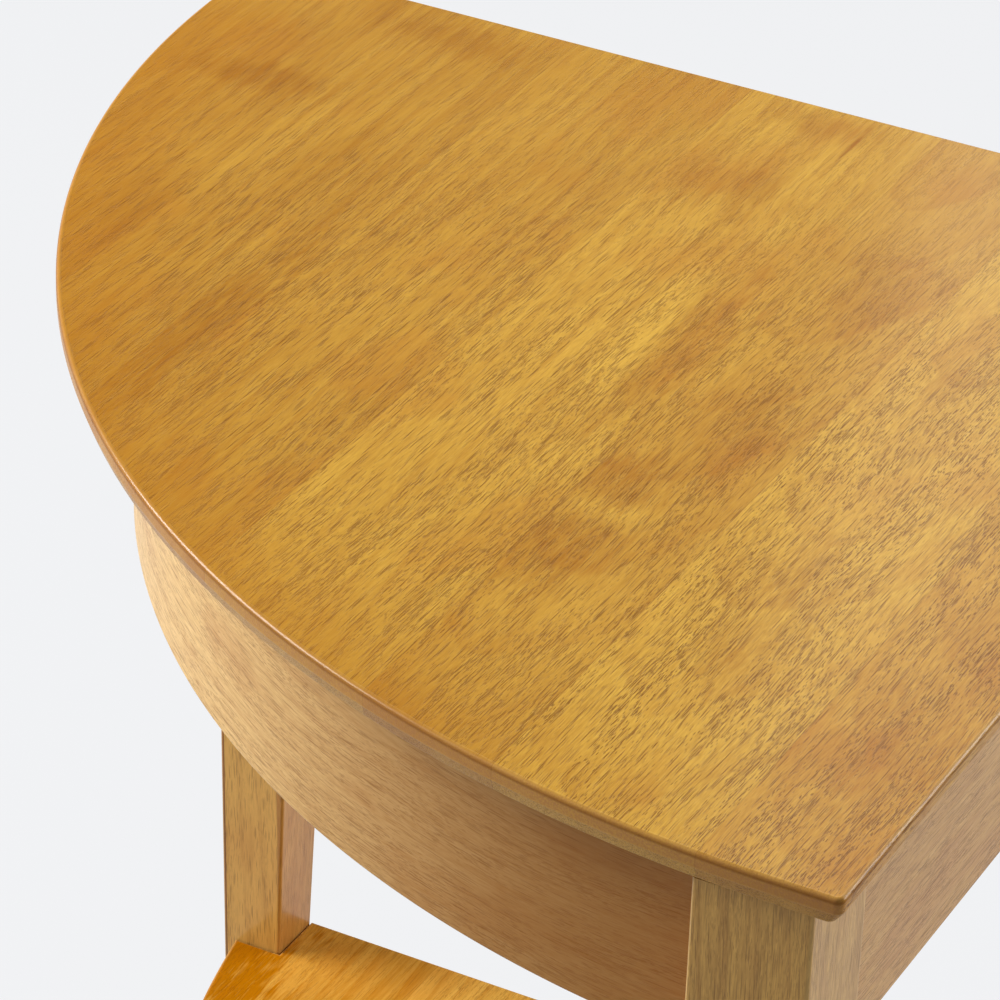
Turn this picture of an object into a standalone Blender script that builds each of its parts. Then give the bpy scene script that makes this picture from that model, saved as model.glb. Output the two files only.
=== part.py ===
"""Quarter-round corner table in lacquered hardwood.

Two straight sides meet at a right angle, for the corner of a room, and a curved
front joins their far ends. Three tapered legs carry two straight rails, one bent
front rail, a chamfered tabletop and a low shelf. Dowels hold the rails and the
shelf to the legs, and battens and blocks with screws hold the tabletop down.

Every piece is drawn in corner coordinates: u runs from the right-angle corner
along the left straight side, v along the right one, and z is up. The empty
that carries the pieces turns these into the table's own axes. Lengths are in
metres.
"""

import math

import bmesh
import bpy

# Overall size
SIDE_LENGTH = 0.450
TABLE_HEIGHT = 0.600

# Tabletop: a thin upright edge, eased above and chamfered below
TOP_THICKNESS = 0.013
TOP_EDGE_HEIGHT = 0.0045
TOP_ROUND = 0.0015
TOP_CORNER_RADIUS = 0.005
UNDER_CORNER_RADIUS = 0.001
FRONT_OVERHANG = 0.007
WALL_OVERHANG = 0.011
UNDERSIDE_MARGIN = 0.0005
# Length at each end of the curve that runs straight, square to the wall side
STRAIGHT_RUN = 0.022

# Legs: square at the top, tapered on the two inner faces below the rails
LEG_WIDTH = 0.0385
FOOT_WIDTH = 0.0205
LEG_EASE = 0.0012

# Rails under the tabletop
RAIL_HEIGHT = 0.0785
RAIL_THICKNESS = 0.018
BENT_RAIL_THICKNESS = 0.012
# How far the rails' outer faces lie behind the outer faces of the legs
RAIL_RECESS = 0.0065
BENT_RAIL_RECESS = 0.024
BENT_RAIL_RADIUS = 0.384
RAIL_EASE = 0.0008

# Shelf
SHELF_HEIGHT = 0.1725
SHELF_THICKNESS = 0.015
SHELF_RECESS = 0.006
SHELF_RADIUS = 0.492
SHELF_EASE = 0.0015

# Dowels: diameters, and how deep they go as a share of the leg's width
RAIL_DOWEL_DIAMETER = 0.008
BENT_DOWEL_DIAMETER = 0.006
SHELF_DOWEL_DIAMETER = 0.006
DOWEL_SPACING = 0.034
DOWEL_DEPTH_SHARE = 0.38
DOWEL_END_EASE = 0.0008
DOWEL_END_ROOM = 0.0006
SHELF_DOWEL_PLACE_SHARE = 0.33

# Battens and blocks that hold the tabletop
BATTEN_WIDTH = 0.018
BATTEN_HEIGHT = 0.020
BATTEN_END_ROOM = 0.030
BATTEN_EASE = 0.0008
BLOCK_LENGTH = 0.040
BLOCK_ANGLE_SHARES = (0.25, 0.5, 0.75)
TOP_SCREW_SHARES = (0.12, 0.88)
RAIL_SCREW_SHARES = (0.32, 0.68)
BLOCK_SCREW_SHARES = (-0.3, 0.3)

# Countersunk screws
SCREW_DIAMETER = 0.0035
SCREW_HEAD_DIAMETER = 0.007
SCREW_HEAD_DEPTH = 0.0022
SCREW_TIP_LENGTH = 0.004
SCREW_SINK = 0.0005
SCREW_BITE_SHARE = 0.58

# Foot glides
GLIDE_DIAMETER = 0.016
GLIDE_HEIGHT = 0.003
GLIDE_EASE = 0.0008
GLIDE_PIN_DIAMETER = 0.0028
GLIDE_PIN_LENGTH = 0.012

# Clearance between pieces, and how far a cutter runs past a face
CLEARANCE = 0.0003
CUT_OVERRUN = 0.002
WELD_DISTANCE = 0.000001

# Facet counts
ARC_STEPS = 56
CORNER_STEPS = 4
ROUND_STEPS = 4
EASE_STEPS = 2
BLOCK_STEPS = 6
DOWEL_SIDES = 16
SCREW_SIDES = 14
GLIDE_SIDES = 24
SHARP_ANGLE = math.radians(35)

# Levels and places that follow from the sizes above
TOP_UNDERSIDE = TABLE_HEIGHT - TOP_THICKNESS
FRAME_TOP = TOP_UNDERSIDE - CLEARANCE
RAIL_BOTTOM = TOP_UNDERSIDE - RAIL_HEIGHT
FOOT_LEVEL = GLIDE_HEIGHT + CLEARANCE
LEG_INNER = WALL_OVERHANG + LEG_WIDTH
FAR_LEG_OUTER = SIDE_LENGTH - FRONT_OVERHANG
FAR_LEG_INNER = FAR_LEG_OUTER - LEG_WIDTH
RAIL_FACE = WALL_OVERHANG + RAIL_RECESS
BENT_INNER_RADIUS = BENT_RAIL_RADIUS - BENT_RAIL_THICKNESS


def clear_scene():
    """Start from an empty scene."""
    for obj in list(bpy.data.objects):
        bpy.data.objects.remove(obj, do_unlink=True)


def new_collection(name):
    """A collection linked to the scene."""
    collection = bpy.data.collections.new(name)
    bpy.context.scene.collection.children.link(collection)
    return collection


def finish(name, colour, roughness, metallic):
    """A plain material with the piece's colour and gloss."""
    material = bpy.data.materials.new(name)
    material.use_nodes = True
    shader = material.node_tree.nodes["Principled BSDF"]
    shader.inputs["Base Color"].default_value = (*colour, 1)
    shader.inputs["Roughness"].default_value = roughness
    shader.inputs["Metallic"].default_value = metallic
    return material


def mesh_object(name, bm, collection):
    """Turn a bmesh into an object that the table's frame carries."""
    bmesh.ops.recalc_face_normals(bm, faces=bm.faces)
    mesh = bpy.data.meshes.new(name)
    bm.to_mesh(mesh)
    bm.free()
    obj = bpy.data.objects.new(name, mesh)
    collection.objects.link(obj)
    obj.parent = frame
    return obj


def piece(name, bm, material):
    """A mesh object that is part of the table."""
    obj = mesh_object(name, bm, table)
    obj.data.materials.append(material)
    return obj


def make_cutter(obj):
    """Mark an object as a cutter that is never rendered."""
    obj.hide_render = True
    obj.display_type = "WIRE"
    return obj


def cut(target, cutter):
    """Cut one piece with a cutter."""
    boolean = target.modifiers.new(cutter.name, "BOOLEAN")
    boolean.operation = "DIFFERENCE"
    boolean.solver = "EXACT"
    boolean.object = cutter


def bevel(obj, width, segments, limit):
    """Round the chosen edges of a piece."""
    modifier = obj.modifiers.new("ease", "BEVEL")
    modifier.width = width
    modifier.segments = segments
    modifier.limit_method = limit
    if limit == "ANGLE":
        modifier.angle_limit = SHARP_ANGLE
    return modifier


def mark_edges(obj, chosen):
    """Give the sharp edges that are chosen the weight that the bevel reads."""
    bm = bmesh.new()
    bm.from_mesh(obj.data)
    weight = bm.edges.layers.float.new("bevel_weight_edge")
    for edge in bm.edges:
        if edge.calc_face_angle(0) > SHARP_ANGLE and chosen(edge):
            edge[weight] = 1
    bm.to_mesh(obj.data)
    bm.free()


def is_level(edge):
    """True for an edge that lies in one horizontal plane."""
    first, second = edge.verts
    return abs(first.co.z - second.co.z) < WELD_DISTANCE


def smooth(obj):
    """Shade round surfaces smooth and keep the arrises sharp."""
    obj.data.shade_smooth()
    obj.data.set_sharp_from_angle(angle=SHARP_ANGLE)


def loft(rings):
    """A closed solid through rings that have the same number of points."""
    bm = bmesh.new()
    loops = [[bm.verts.new(point) for point in ring] for ring in rings]
    for lower, upper in zip(loops, loops[1:]):
        for index in range(len(lower)):
            after = (index + 1) % len(lower)
            bm.faces.new((lower[index], lower[after], upper[after], upper[index]))
    bm.faces.new(loops[0])
    bm.faces.new(loops[-1])
    return bm


def board(name, outline, thickness, material):
    """A flat board: a 2D curve extruded about its middle and made a mesh."""
    curve = bpy.data.curves.new(name, "CURVE")
    curve.dimensions = "2D"
    curve.fill_mode = "BOTH"
    curve.extrude = thickness / 2
    spline = curve.splines.new("POLY")
    spline.points.add(len(outline) - 1)
    for point, (u, v) in zip(spline.points, outline):
        point.co = (u, v, 0, 1)
    spline.use_cyclic_u = True
    guide = bpy.data.objects.new(name + "_outline", curve)
    guides.objects.link(guide)
    bpy.context.view_layer.update()
    depsgraph = bpy.context.evaluated_depsgraph_get()
    mesh = bpy.data.meshes.new_from_object(guide.evaluated_get(depsgraph))
    bm = bmesh.new()
    bm.from_mesh(mesh)
    bmesh.ops.remove_doubles(bm, verts=bm.verts, dist=WELD_DISTANCE)
    caps = [face for face in bm.faces if all(is_level(edge) for edge in face.edges)]
    bmesh.ops.delete(bm, geom=caps, context="FACES")
    bmesh.ops.holes_fill(bm, edges=bm.edges, sides=0)
    bpy.data.objects.remove(guide, do_unlink=True)
    bpy.data.meshes.remove(mesh)
    return piece(name, bm, material)


def bar(name, size, centre, material):
    """A rectangular bar, given by its size and its centre."""
    bm = bmesh.new()
    bmesh.ops.create_cube(bm, size=1)
    bmesh.ops.scale(bm, vec=size, verts=bm.verts)
    obj = piece(name, bm, material)
    obj.location = centre
    return obj


def arc(centre, radius, start, end, steps):
    """Points along an arc about a plan centre, ends included."""
    return [
        (
            centre[0] + radius * math.cos(start + (end - start) * step / steps),
            centre[1] + radius * math.sin(start + (end - start) * step / steps),
        )
        for step in range(steps + 1)
    ]


def fillet(corner, back, ahead, radius):
    """Points that round a right-angled corner between two directions."""
    centre = [corner[axis] + radius * (back[axis] + ahead[axis]) for axis in range(2)]
    points = []
    for step in range(CORNER_STEPS + 1):
        turn = math.pi / 2 * step / CORNER_STEPS
        points.append(
            tuple(
                centre[axis]
                - radius * (math.cos(turn) * ahead[axis] + math.sin(turn) * back[axis])
                for axis in range(2)
            )
        )
    return points


def top_outline(front_inset, wall_inset, radius):
    """The tabletop's plan outline, drawn in from the curve and from the walls."""
    near = wall_inset
    far = SIDE_LENGTH - front_inset
    outline = fillet((near, near), (0, 1), (1, 0), radius)
    outline += fillet((far, near), (-1, 0), (0, 1), radius)
    outline += arc(
        (STRAIGHT_RUN, STRAIGHT_RUN), far - STRAIGHT_RUN, 0, math.pi / 2, ARC_STEPS
    )
    outline += fillet((near, far), (1, 0), (0, -1), radius)
    return outline


def leg_width_at(level):
    """The leg's width at a level: full down to the rails, then tapered."""
    share = min(1, max(0, (RAIL_BOTTOM - level) / (RAIL_BOTTOM - FOOT_LEVEL)))
    return LEG_WIDTH + (FOOT_WIDTH - LEG_WIDTH) * share


def make_tabletop(material):
    """Loft the tabletop through its underside, upright edge and round-over."""
    rings = [
        (
            TOP_UNDERSIDE,
            FRONT_OVERHANG - UNDERSIDE_MARGIN,
            WALL_OVERHANG - UNDERSIDE_MARGIN,
            UNDER_CORNER_RADIUS,
        ),
        (TABLE_HEIGHT - TOP_EDGE_HEIGHT, 0, 0, TOP_CORNER_RADIUS),
    ]
    for step in range(ROUND_STEPS + 1):
        turn = math.pi / 2 * step / ROUND_STEPS
        inset = TOP_ROUND * (1 - math.cos(turn))
        level = TABLE_HEIGHT - TOP_ROUND * (1 - math.sin(turn))
        rings.append((level, inset, inset, TOP_CORNER_RADIUS - inset))
    outlines = [
        [(u, v, level) for u, v in top_outline(front, wall, radius)]
        for level, front, wall, radius in rings
    ]
    tabletop = piece("tabletop", loft(outlines), material)
    smooth(tabletop)
    return tabletop


def make_leg(name, outer, inward, material):
    """A leg whose outer faces stand plumb and whose inner faces taper."""
    rings = []
    for level in (FOOT_LEVEL, RAIL_BOTTOM, FRAME_TOP):
        width = leg_width_at(level)
        corners = ((0, 0), (width, 0), (width, width), (0, width))
        rings.append([(u * inward[0], v * inward[1], level) for u, v in corners])
    leg = piece(name, loft(rings), material)
    leg.location = (*outer, 0)
    bevel(leg, LEG_EASE, EASE_STEPS, "ANGLE")
    return leg


def make_straight_rail(name, along, material):
    """A straight rail between the corner leg and a far leg, set in from their faces."""
    length = FAR_LEG_INNER - LEG_INNER - 2 * CLEARANCE
    height = FRAME_TOP - RAIL_BOTTOM
    across = 1 - along
    size = [0, 0, height]
    size[along] = length
    size[across] = RAIL_THICKNESS
    centre = [0, 0, RAIL_BOTTOM + height / 2]
    centre[along] = (LEG_INNER + FAR_LEG_INNER) / 2
    centre[across] = RAIL_FACE + RAIL_THICKNESS / 2
    rail = bar(name, size, centre, material)

    def runs_along(edge):
        first, second = edge.verts
        return abs(first.co[along] - second.co[along]) > height

    mark_edges(rail, runs_along)
    bevel(rail, RAIL_EASE, 1, "WEIGHT")
    return rail


def bow_middle(recess, radius, end):
    """Both plan distances of the centre of an arc that ends alike at the far legs."""
    far = FAR_LEG_OUTER - recess
    return (far + end - math.sqrt(2 * radius**2 - (far - end) ** 2)) / 2


def bow_end_angle(middle, radius, end):
    """The angle about the arc's centre at which it reaches a leg's face."""
    return math.asin((end - middle) / radius)


def bent_rail_middle():
    """Both plan distances of the bent rail's centre."""
    return bow_middle(BENT_RAIL_RECESS, BENT_RAIL_RADIUS, LEG_INNER + CLEARANCE)


def make_bent_rail(material):
    """The bent front rail, between the inner faces of the far legs."""
    middle = bent_rail_middle()
    centre = (middle, middle)
    end = LEG_INNER + CLEARANCE
    outer = bow_end_angle(middle, BENT_RAIL_RADIUS, end)
    inner = bow_end_angle(middle, BENT_INNER_RADIUS, end)
    quarter = math.pi / 2
    outline = arc(centre, BENT_RAIL_RADIUS, outer, quarter - outer, ARC_STEPS)
    outline += arc(centre, BENT_INNER_RADIUS, quarter - inner, inner, ARC_STEPS)
    height = FRAME_TOP - RAIL_BOTTOM
    rail = board("bent_front_rail", outline, height, material)
    rail.location.z = RAIL_BOTTOM + height / 2

    def follows_curve(edge):
        return is_level(edge) and len(edge.link_faces) == 2 and clear_of_ends(edge, end)

    mark_edges(rail, follows_curve)
    bevel(rail, RAIL_EASE, 1, "WEIGHT")
    smooth(rail)
    return rail


def clear_of_ends(edge, end):
    """True for an edge that isn't one of the bent rail's two end cuts."""
    first, second = edge.verts
    at_left = all(abs(vert.co.y - end) < WELD_DISTANCE for vert in (first, second))
    at_right = all(abs(vert.co.x - end) < WELD_DISTANCE for vert in (first, second))
    return not (at_left or at_right)


def make_shelf(material):
    """The shelf, notched round the three legs and curved along the front."""
    width = leg_width_at(SHELF_HEIGHT) + CLEARANCE
    wall = WALL_OVERHANG
    near = wall + width
    far = FAR_LEG_OUTER - width
    middle = bow_middle(SHELF_RECESS, SHELF_RADIUS, near)
    start = bow_end_angle(middle, SHELF_RADIUS, near)
    outline = [(near, wall), (far, wall), (far, near)]
    outline += arc(
        (middle, middle), SHELF_RADIUS, start, math.pi / 2 - start, ARC_STEPS
    )
    outline += [(near, far), (wall, far), (wall, near), (near, near)]
    shelf = board("shelf", outline, SHELF_THICKNESS, material)
    shelf.location.z = SHELF_HEIGHT - SHELF_THICKNESS / 2
    mark_edges(shelf, is_level)
    bevel(shelf, SHELF_EASE, EASE_STEPS, "WEIGHT")
    smooth(shelf)
    return shelf


def round_bar(name, radius, length, collection):
    """A round bar along z, centred on its own middle."""
    bm = bmesh.new()
    bmesh.ops.create_cone(
        bm,
        cap_ends=True,
        segments=DOWEL_SIDES,
        radius1=radius,
        radius2=radius,
        depth=length,
    )
    return mesh_object(name, bm, collection)


def make_dowel(name, centre, axis, diameter, depth, material, targets):
    """A dowel across a joint, with its blind holes in both pieces."""
    rotation = (0, math.pi / 2, 0) if axis == 0 else (math.pi / 2, 0, 0)
    dowel = round_bar(name, diameter / 2, 2 * depth, table)
    dowel.data.materials.append(material)
    dowel.location = centre
    dowel.rotation_euler = rotation
    smooth(dowel)
    bevel(dowel, DOWEL_END_EASE, 1, "ANGLE")
    hole = make_cutter(
        round_bar(
            name + "_hole",
            diameter / 2 + CLEARANCE,
            2 * (depth + DOWEL_END_ROOM),
            cutters,
        )
    )
    hole.location = centre
    hole.rotation_euler = rotation
    for target in targets:
        cut(target, hole)


def rail_dowel_levels():
    """The two heights of the dowels in a rail's end."""
    middle = (RAIL_BOTTOM + FRAME_TOP) / 2
    return (middle - DOWEL_SPACING / 2, middle + DOWEL_SPACING / 2)


def dowel_rail_ends(legs, rails, material):
    """Two dowels at each end of the straight rails and of the bent rail."""
    depth = LEG_WIDTH * DOWEL_DEPTH_SHARE
    across = RAIL_FACE + RAIL_THICKNESS / 2
    joint = LEG_INNER + CLEARANCE / 2
    far_joint = FAR_LEG_INNER - CLEARANCE / 2
    middle = bent_rail_middle()
    middle_radius = BENT_RAIL_RADIUS - BENT_RAIL_THICKNESS / 2
    bent_place = middle + math.sqrt(middle_radius**2 - (joint - middle) ** 2)
    joints = [
        ("left_rail_corner", (joint, across), 0, "corner_leg", "left_rail"),
        ("left_rail_far", (far_joint, across), 0, "left_leg", "left_rail"),
        ("right_rail_corner", (across, joint), 1, "corner_leg", "right_rail"),
        ("right_rail_far", (across, far_joint), 1, "right_leg", "right_rail"),
        ("bent_rail_left", (bent_place, joint), 1, "left_leg", "bent_front_rail"),
        ("bent_rail_right", (joint, bent_place), 0, "right_leg", "bent_front_rail"),
    ]
    for place, (u, v), axis, leg, rail in joints:
        bent = rail == "bent_front_rail"
        diameter = BENT_DOWEL_DIAMETER if bent else RAIL_DOWEL_DIAMETER
        for height, level in zip(("low", "high"), rail_dowel_levels()):
            make_dowel(
                f"{place}_dowel_{height}",
                (u, v, level),
                axis,
                diameter,
                depth,
                material,
                (legs[leg], rails[rail]),
            )


def dowel_shelf(legs, shelf, material):
    """Two dowels from each leg into the notched corners of the shelf."""
    level = SHELF_HEIGHT - SHELF_THICKNESS / 2
    width = leg_width_at(level)
    depth = width * DOWEL_DEPTH_SHARE
    near = WALL_OVERHANG + width + CLEARANCE / 2
    far = FAR_LEG_OUTER - width - CLEARANCE / 2
    side_place = WALL_OVERHANG + width * SHELF_DOWEL_PLACE_SHARE
    front_place = FAR_LEG_OUTER - (width + SHELF_RECESS) / 2
    joints = [
        ("shelf_corner_left", (near, side_place), 0, "corner_leg"),
        ("shelf_corner_right", (side_place, near), 1, "corner_leg"),
        ("shelf_left_back", (far, side_place), 0, "left_leg"),
        ("shelf_left_front", (front_place, near), 1, "left_leg"),
        ("shelf_right_back", (side_place, far), 1, "right_leg"),
        ("shelf_right_front", (near, front_place), 0, "right_leg"),
    ]
    for place, (u, v), axis, leg in joints:
        make_dowel(
            place + "_dowel",
            (u, v, level),
            axis,
            SHELF_DOWEL_DIAMETER,
            depth,
            material,
            (legs[leg], shelf),
        )


def turned(name, profile, sides, collection):
    """A turned solid: a profile that runs down from the axis and back to it."""
    bm = bmesh.new()
    verts = [bm.verts.new((radius, 0, level)) for radius, level in profile]
    for first, second in zip(verts, verts[1:]):
        bm.edges.new((first, second))
    mesh = bpy.data.meshes.new(name)
    bm.to_mesh(mesh)
    bm.free()
    obj = bpy.data.objects.new(name, mesh)
    collection.objects.link(obj)
    obj.parent = frame
    screw = obj.modifiers.new("turn", "SCREW")
    screw.steps = sides
    screw.render_steps = sides
    screw.use_merge_vertices = True
    screw.merge_threshold = WELD_DISTANCE
    screw.use_smooth_shade = True
    return obj


def screw_profile(length, growth, above):
    """A countersunk screw's profile, grown all round for its hole's cutter."""
    head = SCREW_HEAD_DIAMETER / 2 + growth
    shank = SCREW_DIAMETER / 2 + growth
    neck = -SCREW_HEAD_DEPTH - growth
    profile = [(0, above)]
    if above > 0:
        profile.append((head, above))
    profile += [
        (head, -growth),
        (shank, neck),
        (shank, SCREW_TIP_LENGTH - length),
        (0, -length - growth),
    ]
    return profile


def make_screw(name, seat, direction, reach, material, targets):
    """A screw sunk below a face, with its hole in the pieces it joins.

    seat is the point where its axis enters the outer face, direction the way
    that it is driven, and reach the depth of its tip below that face.
    """
    head = [seat[axis] + direction[axis] * SCREW_SINK for axis in range(3)]
    length = reach - SCREW_SINK
    yaw = math.atan2(direction[1], direction[0])
    tilt = math.acos(-direction[2])
    screw = turned(name, screw_profile(length, 0, 0), SCREW_SIDES, table)
    screw.data.materials.append(material)
    hole = make_cutter(
        turned(
            name + "_hole",
            screw_profile(length, CLEARANCE, SCREW_SINK + CUT_OVERRUN),
            SCREW_SIDES,
            cutters,
        )
    )
    for obj in (screw, hole):
        obj.location = head
        obj.rotation_euler = (0, -tilt, yaw)
    for target in targets:
        cut(target, hole)


def make_battens(tabletop, rails, wood, steel):
    """A batten along each straight rail, screwed to the rail and to the top."""
    start = LEG_INNER + BATTEN_END_ROOM
    length = FAR_LEG_INNER - BATTEN_END_ROOM - start
    face = RAIL_FACE + RAIL_THICKNESS + CLEARANCE
    middle = face + BATTEN_WIDTH / 2
    level = FRAME_TOP - BATTEN_HEIGHT / 2
    top_reach = BATTEN_HEIGHT + CLEARANCE + TOP_THICKNESS * SCREW_BITE_SHARE
    rail_reach = BATTEN_WIDTH + CLEARANCE + RAIL_THICKNESS * SCREW_BITE_SHARE
    for along, side in enumerate(("left", "right")):
        across = 1 - along
        size = [0, 0, BATTEN_HEIGHT]
        size[along] = length
        size[across] = BATTEN_WIDTH
        centre = [0, 0, level]
        centre[along] = start + length / 2
        centre[across] = middle
        batten = bar(side + "_batten", size, centre, wood)
        bevel(batten, BATTEN_EASE, 1, "ANGLE")
        for number, share in enumerate(TOP_SCREW_SHARES, 1):
            seat = [0, 0, FRAME_TOP - BATTEN_HEIGHT]
            seat[along] = start + length * share
            seat[across] = middle
            make_screw(
                f"{side}_batten_top_screw_{number}",
                seat,
                (0, 0, 1),
                top_reach,
                steel,
                (batten, tabletop),
            )
        for number, share in enumerate(RAIL_SCREW_SHARES, 1):
            seat = [0, 0, level]
            seat[along] = start + length * share
            seat[across] = face + BATTEN_WIDTH
            direction = [0, 0, 0]
            direction[across] = -1
            make_screw(
                f"{side}_batten_rail_screw_{number}",
                seat,
                direction,
                rail_reach,
                steel,
                (batten, rails[side + "_rail"]),
            )


def block_outline():
    """A block's plan outline about the curve's centre, curved where it meets the rail."""
    radius = BENT_INNER_RADIUS - CLEARANCE
    half_angle = math.asin(BLOCK_LENGTH / 2 / radius)
    outline = arc((0, 0), radius, -half_angle, half_angle, BLOCK_STEPS)
    inner = radius * math.cos(half_angle) - BATTEN_WIDTH
    outline += [(inner, BLOCK_LENGTH / 2), (inner, -BLOCK_LENGTH / 2)]
    return outline, inner


def make_blocks(tabletop, bent_rail, wood, steel):
    """Blocks behind the bent rail, each with a screw to the rail and to the top."""
    outline, inner = block_outline()
    top_reach = BATTEN_HEIGHT + CLEARANCE + TOP_THICKNESS * SCREW_BITE_SHARE
    rail_reach = BENT_INNER_RADIUS - inner + BENT_RAIL_THICKNESS * SCREW_BITE_SHARE
    level = FRAME_TOP - BATTEN_HEIGHT / 2
    middle = bent_rail_middle()

    def placed(out, aside, angle, height):
        return (
            middle + out * math.cos(angle) - aside * math.sin(angle),
            middle + out * math.sin(angle) + aside * math.cos(angle),
            height,
        )

    for number, share in enumerate(BLOCK_ANGLE_SHARES, 1):
        angle = math.pi / 2 * share
        block = board(f"front_block_{number}", outline, BATTEN_HEIGHT, wood)
        block.location = (middle, middle, level)
        block.rotation_euler.z = angle
        mark_edges(block, is_level)
        bevel(block, BATTEN_EASE, 1, "WEIGHT")
        make_screw(
            f"front_block_{number}_top_screw",
            placed(inner + BATTEN_WIDTH / 2, 0, angle, FRAME_TOP - BATTEN_HEIGHT),
            (0, 0, 1),
            top_reach,
            steel,
            (block, tabletop),
        )
        for side, aside in zip(("left", "right"), BLOCK_SCREW_SHARES):
            make_screw(
                f"front_block_{number}_rail_screw_{side}",
                placed(inner, BLOCK_LENGTH * aside, angle, level),
                (math.cos(angle), math.sin(angle), 0),
                rail_reach,
                steel,
                (block, bent_rail),
            )


def glide_profile():
    """A nail-on glide: a low button that the floor meets, and its pin above."""
    edge = GLIDE_DIAMETER / 2
    pin = GLIDE_PIN_DIAMETER / 2
    top = GLIDE_HEIGHT + GLIDE_PIN_LENGTH
    return [
        (0, top),
        (pin, top - pin),
        (pin, GLIDE_HEIGHT),
        (edge, GLIDE_HEIGHT),
        (edge, GLIDE_EASE),
        (edge - GLIDE_EASE, 0),
        (0, 0),
    ]


def make_glides(legs, material):
    """A glide under the middle of each foot."""
    hole_radius = GLIDE_PIN_DIAMETER / 2 + CLEARANCE
    hole_top = GLIDE_HEIGHT + GLIDE_PIN_LENGTH + CLEARANCE
    hole_profile = [
        (0, hole_top),
        (hole_radius, hole_top),
        (hole_radius, FOOT_LEVEL - CUT_OVERRUN),
        (0, FOOT_LEVEL - CUT_OVERRUN),
    ]
    for name, (leg, inward) in legs.items():
        place = [
            leg.location[axis] + inward[axis] * FOOT_WIDTH / 2 for axis in range(2)
        ]
        glide = turned(name + "_glide", glide_profile(), GLIDE_SIDES, table)
        glide.data.materials.append(material)
        glide.location = (*place, 0)
        hole = make_cutter(
            turned(name + "_glide_hole", hole_profile, DOWEL_SIDES, cutters)
        )
        hole.location = (*place, 0)
        cut(leg, hole)


def build():
    """Make every piece of the table."""
    honey = finish("honey_lacquer", (0.55, 0.30, 0.06), 0.32, 0)
    amber = finish("amber_lacquer", (0.50, 0.24, 0.04), 0.32, 0)
    tan = finish("tan_lacquer", (0.46, 0.26, 0.10), 0.36, 0)
    raw = finish("raw_wood", (0.62, 0.45, 0.26), 0.6, 0)
    beech = finish("beech_dowel", (0.66, 0.48, 0.30), 0.6, 0)
    steel = finish("zinc_steel", (0.62, 0.60, 0.56), 0.35, 1)
    plastic = finish("brown_plastic", (0.09, 0.05, 0.03), 0.5, 0)

    tabletop = make_tabletop(honey)
    wall = WALL_OVERHANG
    places = {
        "corner_leg": ((wall, wall), (1, 1)),
        "left_leg": ((FAR_LEG_OUTER, wall), (-1, 1)),
        "right_leg": ((wall, FAR_LEG_OUTER), (1, -1)),
    }
    legs = {
        name: make_leg(name, outer, inward, tan)
        for name, (outer, inward) in places.items()
    }
    rails = {
        "left_rail": make_straight_rail("left_rail", 0, tan),
        "right_rail": make_straight_rail("right_rail", 1, tan),
        "bent_front_rail": make_bent_rail(tan),
    }
    shelf = make_shelf(amber)
    dowel_rail_ends(legs, rails, beech)
    dowel_shelf(legs, shelf, beech)
    make_battens(tabletop, rails, raw, steel)
    make_blocks(tabletop, rails["bent_front_rail"], raw, steel)
    make_glides({name: (legs[name], places[name][1]) for name in legs}, plastic)


clear_scene()
table = new_collection("corner_table")
cutters = new_collection("cutters")
guides = new_collection("guides")
frame = bpy.data.objects.new("table_frame", None)
table.objects.link(frame)
frame.location = (SIDE_LENGTH / 2, SIDE_LENGTH / 2, 0)
frame.rotation_euler.z = math.pi
build()
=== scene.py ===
import math

import bpy
import numpy as np
from mathutils import Matrix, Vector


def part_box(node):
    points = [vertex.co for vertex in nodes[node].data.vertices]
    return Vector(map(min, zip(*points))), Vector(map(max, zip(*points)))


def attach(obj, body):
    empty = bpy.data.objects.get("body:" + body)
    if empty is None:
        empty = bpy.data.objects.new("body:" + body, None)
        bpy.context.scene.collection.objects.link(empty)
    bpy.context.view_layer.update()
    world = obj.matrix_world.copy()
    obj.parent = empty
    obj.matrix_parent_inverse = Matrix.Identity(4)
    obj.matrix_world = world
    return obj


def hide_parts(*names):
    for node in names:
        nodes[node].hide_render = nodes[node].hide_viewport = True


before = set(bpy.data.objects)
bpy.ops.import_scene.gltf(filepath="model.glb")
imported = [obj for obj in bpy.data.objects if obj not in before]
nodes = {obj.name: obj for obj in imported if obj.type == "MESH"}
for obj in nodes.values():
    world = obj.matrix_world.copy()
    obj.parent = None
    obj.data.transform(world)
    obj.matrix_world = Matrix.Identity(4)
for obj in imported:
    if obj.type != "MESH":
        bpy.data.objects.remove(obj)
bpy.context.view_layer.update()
print("frame loaded:", len(nodes), "pieces")

# Sizes that several pieces share, in metres and degrees. Plan places are counted from the
# right-angle corner: u along the left straight side, v along the right one.
plan = {
    "side": 0.450,
    "height": 0.600,
    "underside": 0.587,
    "frameTop": 0.5867,
    "railBottom": 0.5085,
    "straightRun": 0.022,
    "frontOverhang": 0.007,
    "wallOverhang": 0.011,
    "legWidth": 0.0385,
    "footWidth": 0.0205,
    "footLevel": 0.0033,
    "gap": 0.0003,
    # from each rounded arris to the point on the flat that keeps the flat level
    "support": 0.0005,
    # between the front blocks, round the bent rail
    "blockTurn": 22.5,
    # row of a board's edge, counted from below, whose outline says where end grain shows
    "uprightRow": 8,
    # faces that meet at more than this keep a sharp edge
    "sharpAngle": 38,
}
farLegOuter = plan["side"] - plan["frontOverhang"]
farLegInner = farLegOuter - plan["legWidth"]
legInner = plan["wallOverhang"] + plan["legWidth"]


def linear(red, green, blue):
    # screen values from 0 to 255 turned into the linear ones that shaders take
    share = np.array([red, green, blue]) / 255
    low = share / 12.92
    high = ((share + 0.055) / 1.055) ** 2.4
    return (*np.where(share <= 0.04045, low, high).tolist(), 1)


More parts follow.
